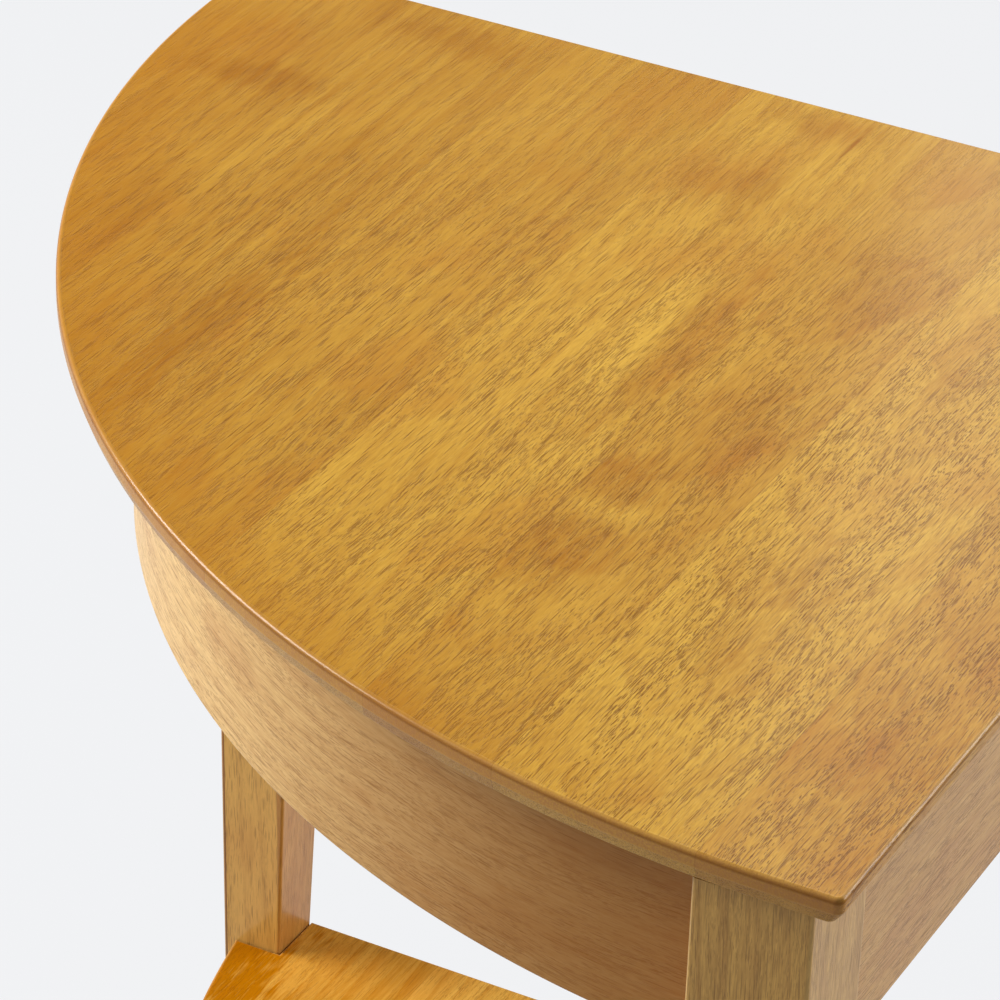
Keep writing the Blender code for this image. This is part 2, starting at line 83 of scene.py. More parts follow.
def toWorld(u, v, z):
    # half the side minus each plan distance, so both plan axes point back
    half = plan["side"] / 2
    return np.stack(np.broadcast_arrays(half - u, half - v, z), axis=-1)


def legWidthAt(level):
    # full width down to the rails, then an even taper to the foot
    share = (plan["railBottom"] - level) / (plan["railBottom"] - plan["footLevel"])
    return plan["legWidth"] + (plan["footWidth"] - plan["legWidth"]) * np.clip(share, 0, 1)


def bowMiddle(recess, radius, end):
    # both plan distances of an arc's centre: far plus end, less the root of twice the
    # radius squared minus the square of far less end, all halved
    far = farLegOuter - recess
    return (far + end - math.sqrt(2 * radius**2 - (far - end) ** 2)) / 2


# meshes from stacks of rings

def closedStack(rings):
    # every ring is joined to the next by quads, and each end ring to its mean point
    count, around = rings.shape[:2]
    total = count * around
    index = np.arange(total).reshape(count, around)
    after = np.roll(index, -1, axis=1)
    quads = np.stack([index[:-1], after[:-1], after[1:], index[1:]], axis=-1)
    bottom = np.stack([after[0], index[0], np.full(around, total)], axis=-1)
    top = np.stack([index[-1], after[-1], np.full(around, total + 1)], axis=-1)
    points = np.vstack([rings.reshape(-1, 3), rings[0].mean(0), rings[-1].mean(0)])
    return points, quads.reshape(-1, 4), np.vstack([bottom, top])


def addObject(name, data):
    # a mesh, lamp or camera put into the scene at the origin
    thing = bpy.data.objects.new(name, data)
    bpy.context.scene.collection.objects.link(thing)
    return thing


def camelName(node):
    # left_leg_glide becomes leftLegGlide
    first, *others = node.split("_")
    return first + "".join(word.capitalize() for word in others)


def addPiece(replaced, rings, masks, fibres, material, slot, ending=""):
    # masks are values from 0 to 1 at the rings' points, and fibres takes the points to
    # (across, along, deep) in metres in the wood
    points, quads, fans = closedStack(rings)
    name = camelName(replaced) + ending
    mesh = bpy.data.meshes.new(name)
    mesh.from_pydata(points.tolist(), [], quads.tolist() + fans.tolist())
    store = mesh.attributes.new("grain", "FLOAT_VECTOR", "POINT")
    store.data.foreach_set("vector", fibres(points).astype(np.float32).ravel())
    for label, mask in masks.items():
        store = mesh.attributes.new(label, "FLOAT", "POINT")
        values = np.append(np.broadcast_to(mask, rings.shape[:2]), [0, 0])
        store.data.foreach_set("value", values.astype(np.float32))
    mesh.materials.append(material)
    mesh.shade_smooth()
    mesh.set_sharp_from_angle(angle=math.radians(plan["sharpAngle"]))
    piece = addObject(name, mesh)
    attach(piece, "root")
    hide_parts(replaced)


def fibresFrom(axes, start=(0, 0, 0)):
    # takes points to (across, along, deep): x, y and z in the order of axes, less the start
    return lambda points: points[:, axes] - start


def arcPoints(centre, radius, start, end, steps):
    # centre plus radius times the cosine and sine of evenly spaced angles
    angle = np.radians(np.linspace(start, end, steps + 1))
    return np.stack(
        [centre[0] + radius * np.cos(angle), centre[1] + radius * np.sin(angle)], axis=1
    )


def straightPoints(start, end, steps):
    # evenly spaced points between two corners, both ends left out
    share = np.linspace(0, 1, steps + 1)[1:-1, None]
    return np.array(start) * (1 - share) + np.array(end) * share


def roundedBox(low, high, radius, steps):
    # four quarter circles, each with a point set back on the flats at its two ends,
    # and a second list that rises to 1 in the middle of each and is 0 on the flats
    corners, rounds = [], []
    places = (
        (low[0], low[1], 1, 1, 180),
        (high[0], low[1], -1, 1, 270),
        (high[0], high[1], -1, -1, 0),
        (low[0], high[1], 1, -1, 90),
    )
    for a, b, inA, inB, start in places:
        centre = (a + inA * radius, b + inB * radius)
        bend = arcPoints(centre, radius, start, start + 90, steps)
        turn = np.radians([start, start + 90])
        back, ahead = np.stack([np.cos(turn), np.sin(turn)], axis=1)
        corners += [bend[:1] - ahead * plan["support"], bend, bend[-1:] - back * plan["support"]]
        rounds += [[0.0], np.sin(np.linspace(0, math.pi, steps + 1)), [0.0]]
    return np.vstack(corners), np.concatenate(rounds)


def endShare(outline):
    # how far each point of a plan outline faces along the boards, from 0 to 1
    step = np.roll(outline, -1, axis=0) - np.roll(outline, 1, axis=0)
    return np.abs(step[:, 0]) / np.linalg.norm(step, axis=1)


# node helpers

def fill(tree, sockets, values):
    # each named or numbered socket is linked, or set where its value is plain
    for name, value in values.items():
        if isinstance(value, bpy.types.NodeSocket):
            tree.links.new(value, sockets[name])
        else:
            sockets[name].default_value = value


def newNode(tree, kind, inputs=None, **settings):
    # a node with its settings, and its inputs filled
    node = tree.nodes.new(kind)
    for name, value in settings.items():
        setattr(node, name, value)
    fill(tree, node.inputs, inputs or {})
    return node


def maths(tree, operation, *values):
    # one operation on one, two or three numbers
    inputs = dict(enumerate(values))
    return newNode(tree, "ShaderNodeMath", inputs, operation=operation).outputs[0]


def product(tree, first, second):
    # first times second
    return maths(tree, "MULTIPLY", first, second)


def weighed(tree, start, *terms):
    # start plus each value times its weight
    total = start
    for value, weight in terms:
        total = maths(tree, "MULTIPLY_ADD", value, weight, total)
    return total


def vectorMaths(tree, operation, *values):
    # one operation on vectors, which gives a vector, or a number for a length
    node = newNode(tree, "ShaderNodeVectorMath", dict(enumerate(values)), operation=operation)
    return node.outputs["Value" if operation == "LENGTH" else 0]


def limited(tree, value):
    # the value held between 0 and 1
    return newNode(tree, "ShaderNodeClamp", {0: value}).outputs[0]


def remap(tree, value, low, high, toLow=0.0, toHigh=1.0):
    # an S curve from toLow at low to toHigh at high
    inputs = {"Value": value, "From Min": low, "From Max": high, "To Min": toLow, "To Max": toHigh}
    kind = "ShaderNodeMapRange"
    return newNode(tree, kind, inputs, interpolation_type="SMOOTHSTEP").outputs["Result"]


def mixColours(tree, share, first, second):
    # first where the share is 0, second where it is 1
    inputs = {0: share, 6: first, 7: second}
    return newNode(tree, "ShaderNodeMix", inputs, data_type="RGBA").outputs[2]


def noiseAt(tree, vector, sizes, detail, roughness=0.5):
    # soft noise from 0 to 1, whose features take the sizes' metres on each axis
    inputs = {
        "Vector": vectorMaths(tree, "DIVIDE", vector, sizes),
        "Scale": 1,
        "Detail": detail,
        "Roughness": roughness,
    }
    return newNode(tree, "ShaderNodeTexNoise", inputs, noise_dimensions="3D").outputs["Fac"]


def separated(tree, value, kind="XYZ"):
    # the three numbers of a vector, or of a colour where the kind is Color
    return newNode(tree, "ShaderNodeSeparate" + kind, {0: value}).outputs


def attribute(tree, name, output="Fac"):
    # what the mesh holds under the name at each point
    return newNode(tree, "ShaderNodeAttribute", attribute_name=name).outputs[output]


def objectPlace(tree):
    # the place on the object, in metres
    return newNode(tree, "ShaderNodeTexCoord").outputs["Object"]


number, colour, vector = "NodeSocketFloat", "NodeSocketColor", "NodeSocketVector"


def newGroup(name, inputs, outputs):
    # an input is given by its first value, or by its kind where it has none
    tree = bpy.data.node_groups.new(name, "ShaderNodeTree")
    for label, given in inputs.items():
        kind = {float: number, tuple: colour}.get(type(given), given)
        socket = tree.interface.new_socket(label, in_out="INPUT", socket_type=kind)
        if kind != given:
            socket.default_value = given
    for label, kind in outputs.items():
        tree.interface.new_socket(label, in_out="OUTPUT", socket_type=kind)
    start, end = (newNode(tree, kind) for kind in ("NodeGroupInput", "NodeGroupOutput"))
    return tree, start.outputs, end.inputs


def useGroup(tree, group, values):
    # the outputs of the group, its named inputs filled with the values
    return newNode(tree, "ShaderNodeGroup", values, node_tree=group).outputs


def newMaterial(name):
    # the material, its node tree and its Principled shader's inputs
    material = bpy.data.materials.new(name)
    material.use_nodes = True
    tree = material.node_tree
    return material, tree, tree.nodes["Principled BSDF"].inputs


def bumped(tree, height, look):
    # the normal, bent by the height with the look's strength and depth
    inputs = {"Strength": look["bumpStrength"], "Distance": look["bumpDepth"], "Height": height}
    return newNode(tree, "ShaderNodeBump", inputs).outputs[0]


# wood: flecks, streaks, growth rings, clouds and open pores along the fibres

# metres that one feature takes across, along and into the wood
woodScale = {
    "wander": (0.040, 0.110, 0.045),
    "fleck": (0.00050, 0.0062, 0.00050),
    "streak": (0.0017, 0.050, 0.0017),
    "broad": (0.0085, 0.160, 0.0085),
    "cloud": (0.026, 0.075, 0.040),
    "warmCloud": (0.034, 0.060, 0.050),
    "poreField": (0.011, 0.070, 0.011),
    "pore": (0.00046, 0.0066, 0.00046),
    "finePore": (0.00036, 0.0026, 0.00036),
    "line": (0.00045, 0.0140, 0.00045),
    "endSpeck": (0.0007, 0.0007, 0.0007),
}

# the place in the wood, and what one wood differs by from another
woodInputs = {
    "Grain": vector,
    "Seed": 0.0,
    "Tone": 0.5,
    "Redness": 0.3,
    "Shade": 0.0,
    "Heart": 0.0,
    "Ring Amount": 0.3,
    "Fleck Amount": 0.9,
    "Streak Amount": 0.6,
    "Cloud Amount": 0.6,
    "Pore Amount": 0.5,
    "Line Amount": 0.4,
    "Pale": linear(215, 160, 48),
    "Deep": linear(172, 112, 14),
    "Red": linear(184, 112, 22),
    "Pore": linear(106, 58, 6),
    "End": linear(146, 86, 30),
    "Arris": 0.0,
    "End Grain": 0.0,
}

# what all wood has in common
woodHabit = {
    # how far a seed of 1 moves a board's pattern, in metres
    "seedStride": (0.71, 1.93, 0.37),
    "warmCloudStart": (3, 5, 7),
    "wanderReach": 0.0055,
    "wanderWay": (1, 0, 0.6),
    "ringGap": 0.0088,
    # the heart line's slope, its start and its reach along the board, and its least depth
    "ringSlope": 0.16,
    "ringStart": 0.35,
    "ringReach": 0.1,
    "ringDepth": 0.012,
    "ringWaver": 0.6,
    # how a ring darkens towards its end, and where it ends
    "ringRise": 2.5,
    "ringEnd": (1, 0.92),
    # size of the open part in its cell, then the chances at which cells start to open
    # and are all open
    "poreLayers": {
        "pore": (0.43, 0.48, 0.78),
        "finePore": (0.48, 0.46, 0.78),
        "line": (0.47, 0.10, 0.60),
    },
    "poreCoreShare": 0.55,
    "finePoreShare": 0.9,
    "poresLostAtEnds": 0.85,
    # noise from and to, and the values that it is turned into
    "poreBand": (0.32, 0.70, 0.60, 1.12),
    "warmBand": (0.50, 0.68),
    "endSpeckBand": (0.35, 0.65, 0.62, 0.86),
    # the band of the painted highlight on arrises
    "arrisBand": (0.30, 0.60, 0.12, 0.28),
    # how much each turns the wood red
    "warmFromRedness": 0.5,
    "warmFromCloud": 0.22,
    "warmFromShade": 0.30,
    "warmFromRings": 0.8,
    # painted highlight: the pale colour that arrises are mixed towards
    "arrisColour": linear(236, 196, 120),
    # roughness of closed wood, and what open pores and streaks add
    "roughness": 0.33,
    "poreRoughness": 0.22,
    "streakRoughness": 0.10,
    # what pores and flecks take from the height, and how fast an arris smooths it
    "poreSink": 1.0,
    "fleckSink": 0.5,
    "arrisSmooths": 1.8,
}


def poreShapes(tree, fibre, field):
    # long narrow cells, of which a part is open, more of them where the field is high
    shapes = {}
    for name, (reach, rare, sure) in woodHabit["poreLayers"].items():
        inputs = {"Vector": vectorMaths(tree, "DIVIDE", fibre, woodScale[name]), "Scale": 1}
        cells = newNode(tree, "ShaderNodeTexVoronoi", inputs, feature="F1", voronoi_dimensions="3D")
        chance = separated(tree, cells.outputs["Color"], "Color")[0]
        picked = remap(tree, product(tree, chance, field), rare, sure)
        core = reach * woodHabit["poreCoreShare"]
        shape = remap(tree, cells.outputs["Distance"], reach, core)
        shapes[name] = product(tree, shape, picked)
    return shapes


def makeWoodGroup():
    # the colour, roughness and height of the wood at a place in it
    results = {"Color": colour, "Roughness": number, "Height": number}
    tree, given, result = newGroup("woodGrain", woodInputs, results)
    size, habit = woodScale, woodHabit
    seeded = vectorMaths(tree, "MULTIPLY", given["Seed"], habit["seedStride"])
    place = vectorMaths(tree, "ADD", given["Grain"], seeded)
    reach = habit["wanderReach"]
    wander = weighed(tree, -0.5 * reach, (noiseAt(tree, place, size["wander"], 1), reach))
    shift = vectorMaths(tree, "MULTIPLY", wander, habit["wanderWay"])
    fibre = vectorMaths(tree, "ADD", place, shift)

    fleck = noiseAt(tree, fibre, size["fleck"], 2, 0.6)
    streak = noiseAt(tree, fibre, size["streak"], 1)
    broad = noiseAt(tree, fibre, size["broad"], 2)
    cloud = noiseAt(tree, place, size["cloud"], 2)
    warmPlace = vectorMaths(tree, "ADD", place, habit["warmCloudStart"])
    warmCloud = noiseAt(tree, warmPlace, size["warmCloud"], 2)

    # growth rings: distance from a heart line that slopes along the board, over the gap
    parts = separated(tree, vectorMaths(tree, "ADD", given["Grain"], shift))
    aside = maths(tree, "SUBTRACT", parts["X"], given["Heart"])
    slope = habit["ringSlope"]
    fall = weighed(tree, habit["ringStart"] * slope, (parts["Y"], -slope))
    slant = maths(tree, "PINGPONG", fall, habit["ringReach"])
    below = maths(tree, "ADD", maths(tree, "ADD", slant, parts["Z"]), habit["ringDepth"])
    squares = weighed(tree, product(tree, aside, aside), (below, below))
    turns = maths(tree, "DIVIDE", maths(tree, "SQRT", squares), habit["ringGap"])
    saw = maths(tree, "FRACT", weighed(tree, turns, (cloud, habit["ringWaver"])))
    rise = maths(tree, "POWER", saw, habit["ringRise"])
    late = product(tree, rise, remap(tree, saw, *habit["ringEnd"]))

    field = remap(tree, noiseAt(tree, place, size["poreField"], 2), *habit["poreBand"])
    shapes = poreShapes(tree, fibre, field)
    fine = product(tree, shapes["finePore"], habit["finePoreShare"])
    pores = maths(tree, "MAXIMUM", shapes["pore"], fine)
    pores = product(tree, pores, given["Pore Amount"])
    lines = product(tree, shapes["line"], given["Line Amount"])
    pores = maths(tree, "MAXIMUM", pores, lines)
    alongFace = weighed(tree, 1.0, (given["End Grain"], -habit["poresLostAtEnds"]))
    pores = product(tree, pores, alongFace)

    # the body's colour goes from pale to deep, then towards red, end grain, pores and a painted
    # highlight on the arrises
    depth = maths(tree, "ADD", given["Tone"], given["Shade"])
    for value, amount in (
        (fleck, "Fleck Amount"),
        (streak, "Streak Amount"),
        (broad, "Streak Amount"),
        (cloud, "Cloud Amount"),
    ):
        depth = weighed(tree, depth, (maths(tree, "SUBTRACT", value, 0.5), given[amount]))
    depth = limited(tree, weighed(tree, depth, (late, given["Ring Amount"])))
    body = mixColours(tree, depth, given["Pale"], given["Deep"])
    warmth = weighed(
        tree,
        product(tree, given["Redness"], habit["warmFromRedness"]),
        (remap(tree, warmCloud, *habit["warmBand"]), habit["warmFromCloud"]),
        (given["Shade"], habit["warmFromShade"]),
        (late, product(tree, given["Ring Amount"], habit["warmFromRings"])),
    )
    speck = remap(tree, noiseAt(tree, place, size["endSpeck"], 1), *habit["endSpeckBand"])
    # the last mix is the painted highlight along the arrises
    for share, dye in (
        (limited(tree, warmth), given["Red"]),
        (product(tree, given["End Grain"], speck), given["End"]),
        (pores, given["Pore"]),
        (product(tree, given["Arris"], remap(tree, broad, *habit["arrisBand"])), habit["arrisColour"]),
    ):
        body = mixColours(tree, share, body, dye)
    terms = (pores, habit["poreRoughness"]), (streak, habit["streakRoughness"])
    even = limited(tree, weighed(tree, 1.0, (given["Arris"], -habit["arrisSmooths"])))
    height = weighed(tree, 0.0, (pores, -habit["poreSink"]), (fleck, -habit["fleckSink"]))
    fill(tree, result, {
        "Color": body,
        "Roughness": weighed(tree, habit["roughness"], *terms),
        "Height": product(tree, height, even),
    })
    return tree


woodGroup = makeWoodGroup()


figure = {
    # seeds run from 0 to this, and two staves' seeds differ by more than the step
    "seedReach": 9.7,
    "seedStep": 0.001,
    "jointShare": 0.30,
    "jointColour": linear(120, 70, 16),
    # how far noise draws a mark's outline in and out, and where its mask starts and is full
    "rippleReach": 3.4,
    "markBand": (1.15, 0.0),
    # sizes, detail and weight of the noises that draw it
    "ripples": [
        ((0.012, 0.026, 0.02), 2, 0.36),
        ((0.0028, 0.018, 0.01), 1, 0.34),
        ((0.0010, 0.011, 0.01), 1, 0.30),
    ],
    # places along the boards between which the grain grows calmer
    "calmBand": (0.02, 0.21),
    # what the fleck amount starts from before the grain's openness adds to it
    "fleckStart": -0.30,
}


def makeStaveGroup():
    # reads a stave's own two flat colours, and finds the glue line beside it
    tree, given, result = newGroup(
        "staveJoint",
        {"Here": colour, "More": colour, "Beside": colour, "Width": 1.0},
        {name: number for name in ("Tone", "Redness", "Seed", "Heart", "Open", "Joint")},
    )
    here, more, beside = (separated(tree, given[n], "Color") for n in ("Here", "More", "Beside"))
    apart = maths(tree, "ABSOLUTE", maths(tree, "SUBTRACT", here[2], beside[2]))
    fill(tree, result, {
        "Tone": here[0],
        "Redness": here[1],
        "Seed": product(tree, here[2], figure["seedReach"]),
        "Heart": product(tree, maths(tree, "SUBTRACT", more[0], 0.5), given["Width"]),
        "Open": more[1],
        "Joint": maths(tree, "GREATER_THAN", apart, figure["seedStep"]),
    })
    return tree


staveGroup = makeStaveGroup()


def makeMarkGroup():
    # a soft oval figure mark inside one stave: 1 at its centre, 0 past its two radii
    tree, given, result = newGroup(
        "figureMark",
        {"Place": vector, "Centre": vector, "Radii": vector, "Ripple": 0.5, "From": -1.0, "To": 1.0},
        {"Mask": number},
    )
    away = vectorMaths(tree, "SUBTRACT", given["Place"], given["Centre"])
    span = vectorMaths(tree, "LENGTH", vectorMaths(tree, "DIVIDE", away, given["Radii"]))
    ripple = maths(tree, "SUBTRACT", given["Ripple"], 0.5)
    span = weighed(tree, span, (ripple, figure["rippleReach"]))
    across = separated(tree, given["Place"])["X"]
    inside = product(
        tree,
        maths(tree, "GREATER_THAN", across, given["From"]),
        maths(tree, "LESS_THAN", across, given["To"]),
    )
    fill(tree, result, {"Mask": product(tree, remap(tree, span, *figure["markBand"]), inside)})
    return tree


markGroup = makeMarkGroup()


def staveRamp(tree, staves, position, columns):
    # one flat colour for each stave, made of the given columns of its row
    ramp = newNode(tree, "ShaderNodeValToRGB", {0: position})
    ramp.color_ramp.interpolation = "CONSTANT"
    stops = ramp.color_ramp.elements
    for order, row in enumerate(staves):
        share = row[0] / plan["side"] + 0.5
        stop = stops[order] if order < 2 else stops.new(share)
        stop.position = share
        stop.color = (*[row[column] for column in columns], 1)
    return ramp.outputs[0]


def figureShade(tree, grain, marks):
    # the marks' masks times their strengths, with edges feathered along the fibres
    noises = [
        (noiseAt(tree, grain, sizes, detail), weight) for sizes, detail, weight in figure["ripples"]
    ]
    ripple = weighed(tree, 0.0, *noises)
    masks = []
    for across, along, radiusAcross, radiusAlong, start, end, strength in marks:
        mark = useGroup(tree, markGroup, {
            "Place": grain,
            "Centre": (across, along, 0),
            "Radii": (radiusAcross, radiusAlong, 1),
            "Ripple": ripple,
            "From": start,
            "To": end,
        })
        masks.append((mark["Mask"], strength))
    return weighed(tree, 0.0, *masks)


def staveValues(tree, grain, look, staves):
    # what each stave gives the wood group, and the mask of the joints between them
    place, width = separated(tree, grain), plan["side"]
    position = weighed(tree, 0.5, (place["X"], 1 / width))
    beside = maths(tree, "ADD", position, look["jointWidth"] / width)
    found = useGroup(tree, staveGroup, {
        "Here": staveRamp(tree, staves, position, (1, 2, 3)),
        "More": staveRamp(tree, staves, position, (4, 5, 5)),
        "Beside": staveRamp(tree, staves, beside, (1, 2, 3)),
        "Width": width,
    })
    values = {label: found[label] for label in ("Tone", "Redness", "Seed", "Heart")}
    calm = remap(tree, place["Y"], *figure["calmBand"], 1, look["backShare"])
    openness = product(tree, found["Open"], calm)
    values["Pore Amount"] = product(tree, openness, look["poreAmount"])
    values["Line Amount"] = product(tree, calm, look["wood"]["Line Amount"])
    values["Fleck Amount"] = weighed(tree, figure["fleckStart"], (openness, look["fleckAmount"]))
    return values, found["Joint"]


def finishWood(tree, shader, look, tint, found):
    # the tint, with the wood group's roughness and height
    fill(tree, shader, {
        "Base Color": tint,
        "Roughness": found["Roughness"],
        "Specular IOR Level": look["specular"],
        "Normal": bumped(tree, found["Height"], look),
    })


def lacquered(name, look, staves=(), marks=(), strips=(), thin=0.0):
    # look holds the wood group's values, and the lacquer's gloss for the shader
    material, tree, shader = newMaterial(name)
    grain = attribute(tree, "grain", "Vector")
    values = dict(look["wood"], Grain=grain, Arris=attribute(tree, "arris"))
    values["End Grain"] = attribute(tree, "endGrain")
    if staves:
        fromStaves, joint = staveValues(tree, grain, look, staves)
        values.update(fromStaves)
    if marks:
        values["Shade"] = figureShade(tree, grain, marks)
    found = useGroup(tree, woodGroup, values)
    tint = found["Color"]
    if staves:
        share = product(tree, joint, figure["jointShare"])
        tint = mixColours(tree, share, tint, figure["jointColour"])
    for label, share, dye in strips:
        tint = mixColours(tree, product(tree, attribute(tree, label), share), tint, dye)
    finishWood(tree, shader, look, tint, found)
    coat = look["coat"]
    # a thinner coat under the painted crown shade, so that it shows no sheen
    if thin:
        coat = weighed(tree, coat, (attribute(tree, "edgeLine"), -thin * coat))
    fill(tree, shader, {"Coat Weight": coat, "Coat Roughness": look["coatRoughness"]})
    return material


# tabletop

tabletop = {
    "edgeHeight": 0.0052,
    "bevelLow": 0.0093,
    "bevelInset": 0.0015,
    "bevelWallInset": 0.0030,
    "bevelCornerRadius": 0.002,
    "roundOver": 0.0015,
    "lineDepth": 0.0007,
    # how far under the foot of the crown a support row on the upright band stands, where the painted
    # shade starts
    "cornerRadius": 0.0028,
    "underCornerRadius": 0.001,
    "softArris": 0.0005,
    "softSteps": 5,
    "undersideMargin": 0.0005,
    "arcSteps": 300,
    "cornerSteps": 8,
    "sideSteps": 60,
    "crownSteps": 10,
    # rings inside the edge on both faces, as shares of the way to their middle
    "shrink": (0.955, 0.85, 0.68, 0.5, 0.32, 0.16, 0.06),
    # the mask of arrises, which also carries their painted highlight, on the three under the crown,
    # and on the crown
    "arrisShares": (0.4, 0.3, 0.4, 0.6),
    # the mask of end grain at the lowest row and at the upper ends of those three arrises
    "endShares": (0, 0.15, 0.3, 1),
    # the mask of the painted shade, a dark line up the lower crown where the rounded edge turns from
    # the light and reflects the dark studio: its start, and its fall over the crown
    "lineShares": (1.2, 2.0),
    # how far in from the curve the richer colour along it goes, and its strength there
    "rimInsets": (0.0019, 0.005, 0.012, 0.022, 0.036, 0.056),
    "rimStrengths": (1.0, 0.95, 0.8, 0.55, 0.26, 0.0),
    "rimWallShare": 0.2,
    # arc steps over which it fades at the far and the near end
    "rimFades": (12, 90),
    # mask, strength and colour of the strips along the edge; the second strip is the painted shade up
    # the crown
    "strips": [("rim", 0.52, linear(180, 115, 0)), ("edgeLine", 0.56, linear(116, 62, 0))],
    # how much of the coat is taken off under the painted crown shade, so that the dark line shows no
    # sheen
    "thinCoat": 0.8,
    # start across, tone, redness, seed, heart, openness of the grain
    "staves": [
        (-0.240, 0.60, 0.06, 0.11, 0.95, 0.34),
        (-0.154, 0.56, 0.02, 0.47, 0.90, 0.38),
        (-0.090, 0.47, 0.08, 0.83, 0.92, 0.52),
        (-0.019, 0.27, 0.04, 0.29, 0.88, 0.66),
        (0.057, 0.36, 0.22, 0.65, 0.66, 0.70),
        (0.108, 0.18, 0.05, 0.94, 0.806, 0.92),
        (0.179, 0.26, 0.46, 0.38, 0.98, 0.95),
    ],
    # across, along, two radii, the stave's two sides, strength
    "marks": [
        (0.064, -0.100, 0.030, 0.036, 0.057, 0.108, 0.28),
        (0.074, -0.070, 0.024, 0.010, 0.057, 0.108, -0.30),
        (0.062, -0.050, 0.022, 0.024, 0.057, 0.108, 0.28),
        (0.080, -0.006, 0.030, 0.044, 0.057, 0.108, 0.20),
        (0.046, 0.034, 0.012, 0.075, -0.019, 0.057, 0.34),
        (0.030, 0.034, 0.008, 0.050, -0.019, 0.057, -0.26),
        (0.0325, 0.192, 0.0016, 0.026, -0.019, 0.057, 0.60),
        (0.010, 0.150, 0.036, 0.026, -0.100, 0.057, 0.26),
        (0.016, 0.212, 0.030, 0.014, -0.100, 0.057, 0.26),
        (-0.122, 0.204, 0.040, 0.016, -0.240, -0.019, 0.22),
        (-0.180, 0.139, 0.036, 0.016, -0.240, -0.090, 0.26),
        (-0.096, -0.036, 0.013, 0.110, -0.240, 0.057, 0.30),
        (-0.160, 0.020, 0.030, 0.050, -0.240, -0.090, 0.12),
        (0.140, -0.070, 0.012, 0.034, 0.108, 0.179, 0.28),
        (0.142, -0.122, 0.012, 0.024, 0.108, 0.179, 0.28),
        (0.133, 0.055, 0.010, 0.026, 0.108, 0.179, 0.26),
        (0.090, 0.100, 0.022, 0.040, 0.057, 0.179, 0.26),
        (0.208, -0.150, 0.026, 0.050, 0.179, 0.240, 0.26),
    ],
    "look": {
        "wood": {
            "Ring Amount": 0.12,
            "Streak Amount": 0.38,
            "Cloud Amount": 0.42,
            "Line Amount": 0.74,
            "Pale": linear(217, 169, 62),
            "Deep": linear(158, 100, 0),
            "Red": linear(176, 105, 12),
            "Pore": linear(128, 78, 0),
            "End": linear(170, 116, 62),
        },
        "poreAmount": 1.0,
        "fleckAmount": 1.60,
        "backShare": 0.50,
        "jointWidth": 0.00025,
        "bumpStrength": 0.90,
        "bumpDepth": 0.00030,
        "specular": 0.09,
        "coat": 0.36,
        "coatRoughness": 0.14,
    },
}


def planOutline(frontInset, wallInset, radius):
    # a square corner, a quarter circle and two short straight runs, with rounded corners
    near, far, run = wallInset, plan["side"] - frontInset, plan["straightRun"]
    low, high = near + radius, far - radius
    corner, side = tabletop["cornerSteps"], tabletop["sideSteps"]
    return np.vstack([
        arcPoints((low, low), radius, 180, 270, corner),
        straightPoints((low, near), (high, near), side),
        arcPoints((high, low), radius, 270, 360, corner),
        arcPoints((run, run), far - run, 0, 90, tabletop["arcSteps"]),
        arcPoints((low, high), radius, 90, 180, corner),
        straightPoints((near, high), (near, low), side),
    ])


def softTurn(corner, back, ahead):
    # a curve from back to ahead that bends near the corner: the quadratic Bezier of the three
    t = np.linspace(0, 1, tabletop["softSteps"] + 1)[:, None]
    return back * (1 - t) ** 2 + corner * 2 * t * (1 - t) + ahead * t**2


def edgeProfile():
    # rows of height, inset from the curve, inset from the walls and corner radius, up the
    # under-bevel, the bevel, the upright band and the rounded crown, with each row's masks
    top, over, bow = plan["height"], tabletop["roundOver"], tabletop["cornerRadius"]
    margin, soft, bevel = (tabletop[n] for n in ("undersideMargin", "softArris", "bevelInset"))
    front, wall = plan["frontOverhang"] - margin, plan["wallOverhang"] - margin
    under = np.array([plan["underside"], front, wall, tabletop["underCornerRadius"]])
    inWall, hipRadius = tabletop["bevelWallInset"], tabletop["bevelCornerRadius"]
    hip = np.array([top - tabletop["bevelLow"], bevel, inWall, hipRadius])
    corner = np.array([top - tabletop["edgeHeight"], 0, 0, bow])
    low = (hip - under) / np.linalg.norm((hip - under)[:2]) * soft
    high = (corner - hip) / np.linalg.norm((corner - hip)[:2]) * soft
    flat = under + [0, soft, soft, 0]
    turns = np.vstack([
        softTurn(under, flat, under + low),
        softTurn(hip, hip - low, hip + high),
        softTurn(corner, corner - high, corner + [soft, 0, 0, 0]),
        [top - over - tabletop["lineDepth"], 0, 0, bow],
    ])
    turn = np.radians(np.linspace(0, 90, tabletop["crownSteps"] + 1))
    inset = over * (1 - np.cos(turn))
    level = top - over * (1 - np.sin(turn))
    crown = np.stack([level, inset, inset, bow - inset], 1)
    rims = [
        [top, inset, over + (inset - over) * tabletop["rimWallShare"], bow - over]
        for inset in tabletop["rimInsets"]
    ]
    rows = np.vstack([flat + [0, soft, soft, 0], turns, crown, rims])
    points = tabletop["softSteps"] + 1
    bumps = [share * np.sin(np.linspace(0, math.pi, points)) for share in tabletop["arrisShares"][:3]]
    ends = np.interp(range(3 * points + 1), np.arange(4) * points, tabletop["endShares"])
    # painted shade: full at the crown's foot, fading as the crown turns up
    line = np.clip(tabletop["lineShares"][0] - tabletop["lineShares"][1] * turn / turn[-1], 0, 1)
    below, past = np.zeros(len(turns) + 1), np.zeros(len(rims))
    masks = {
        "arris": [[0], *bumps, [0], tabletop["arrisShares"][3] * np.sin(turn) ** 2, past],
        "endGrain": [ends, [1], np.cos(turn) ** 0.5, past],
        "edgeLine": [below, line, past],
        "rim": [below, np.sin(turn), tabletop["rimStrengths"]],
    }
    return rows, {name: np.concatenate(parts) for name, parts in masks.items()}


def closedFaces(stack, below, above, shrink):
    # rings drawn in from the stack's two ends towards the middle of each face
    bottom = [below + (stack[0] - below) * share for share in shrink[::-1]]
    top = [above + (stack[-1] - above) * share for share in shrink]
    return np.array(bottom + stack + top)


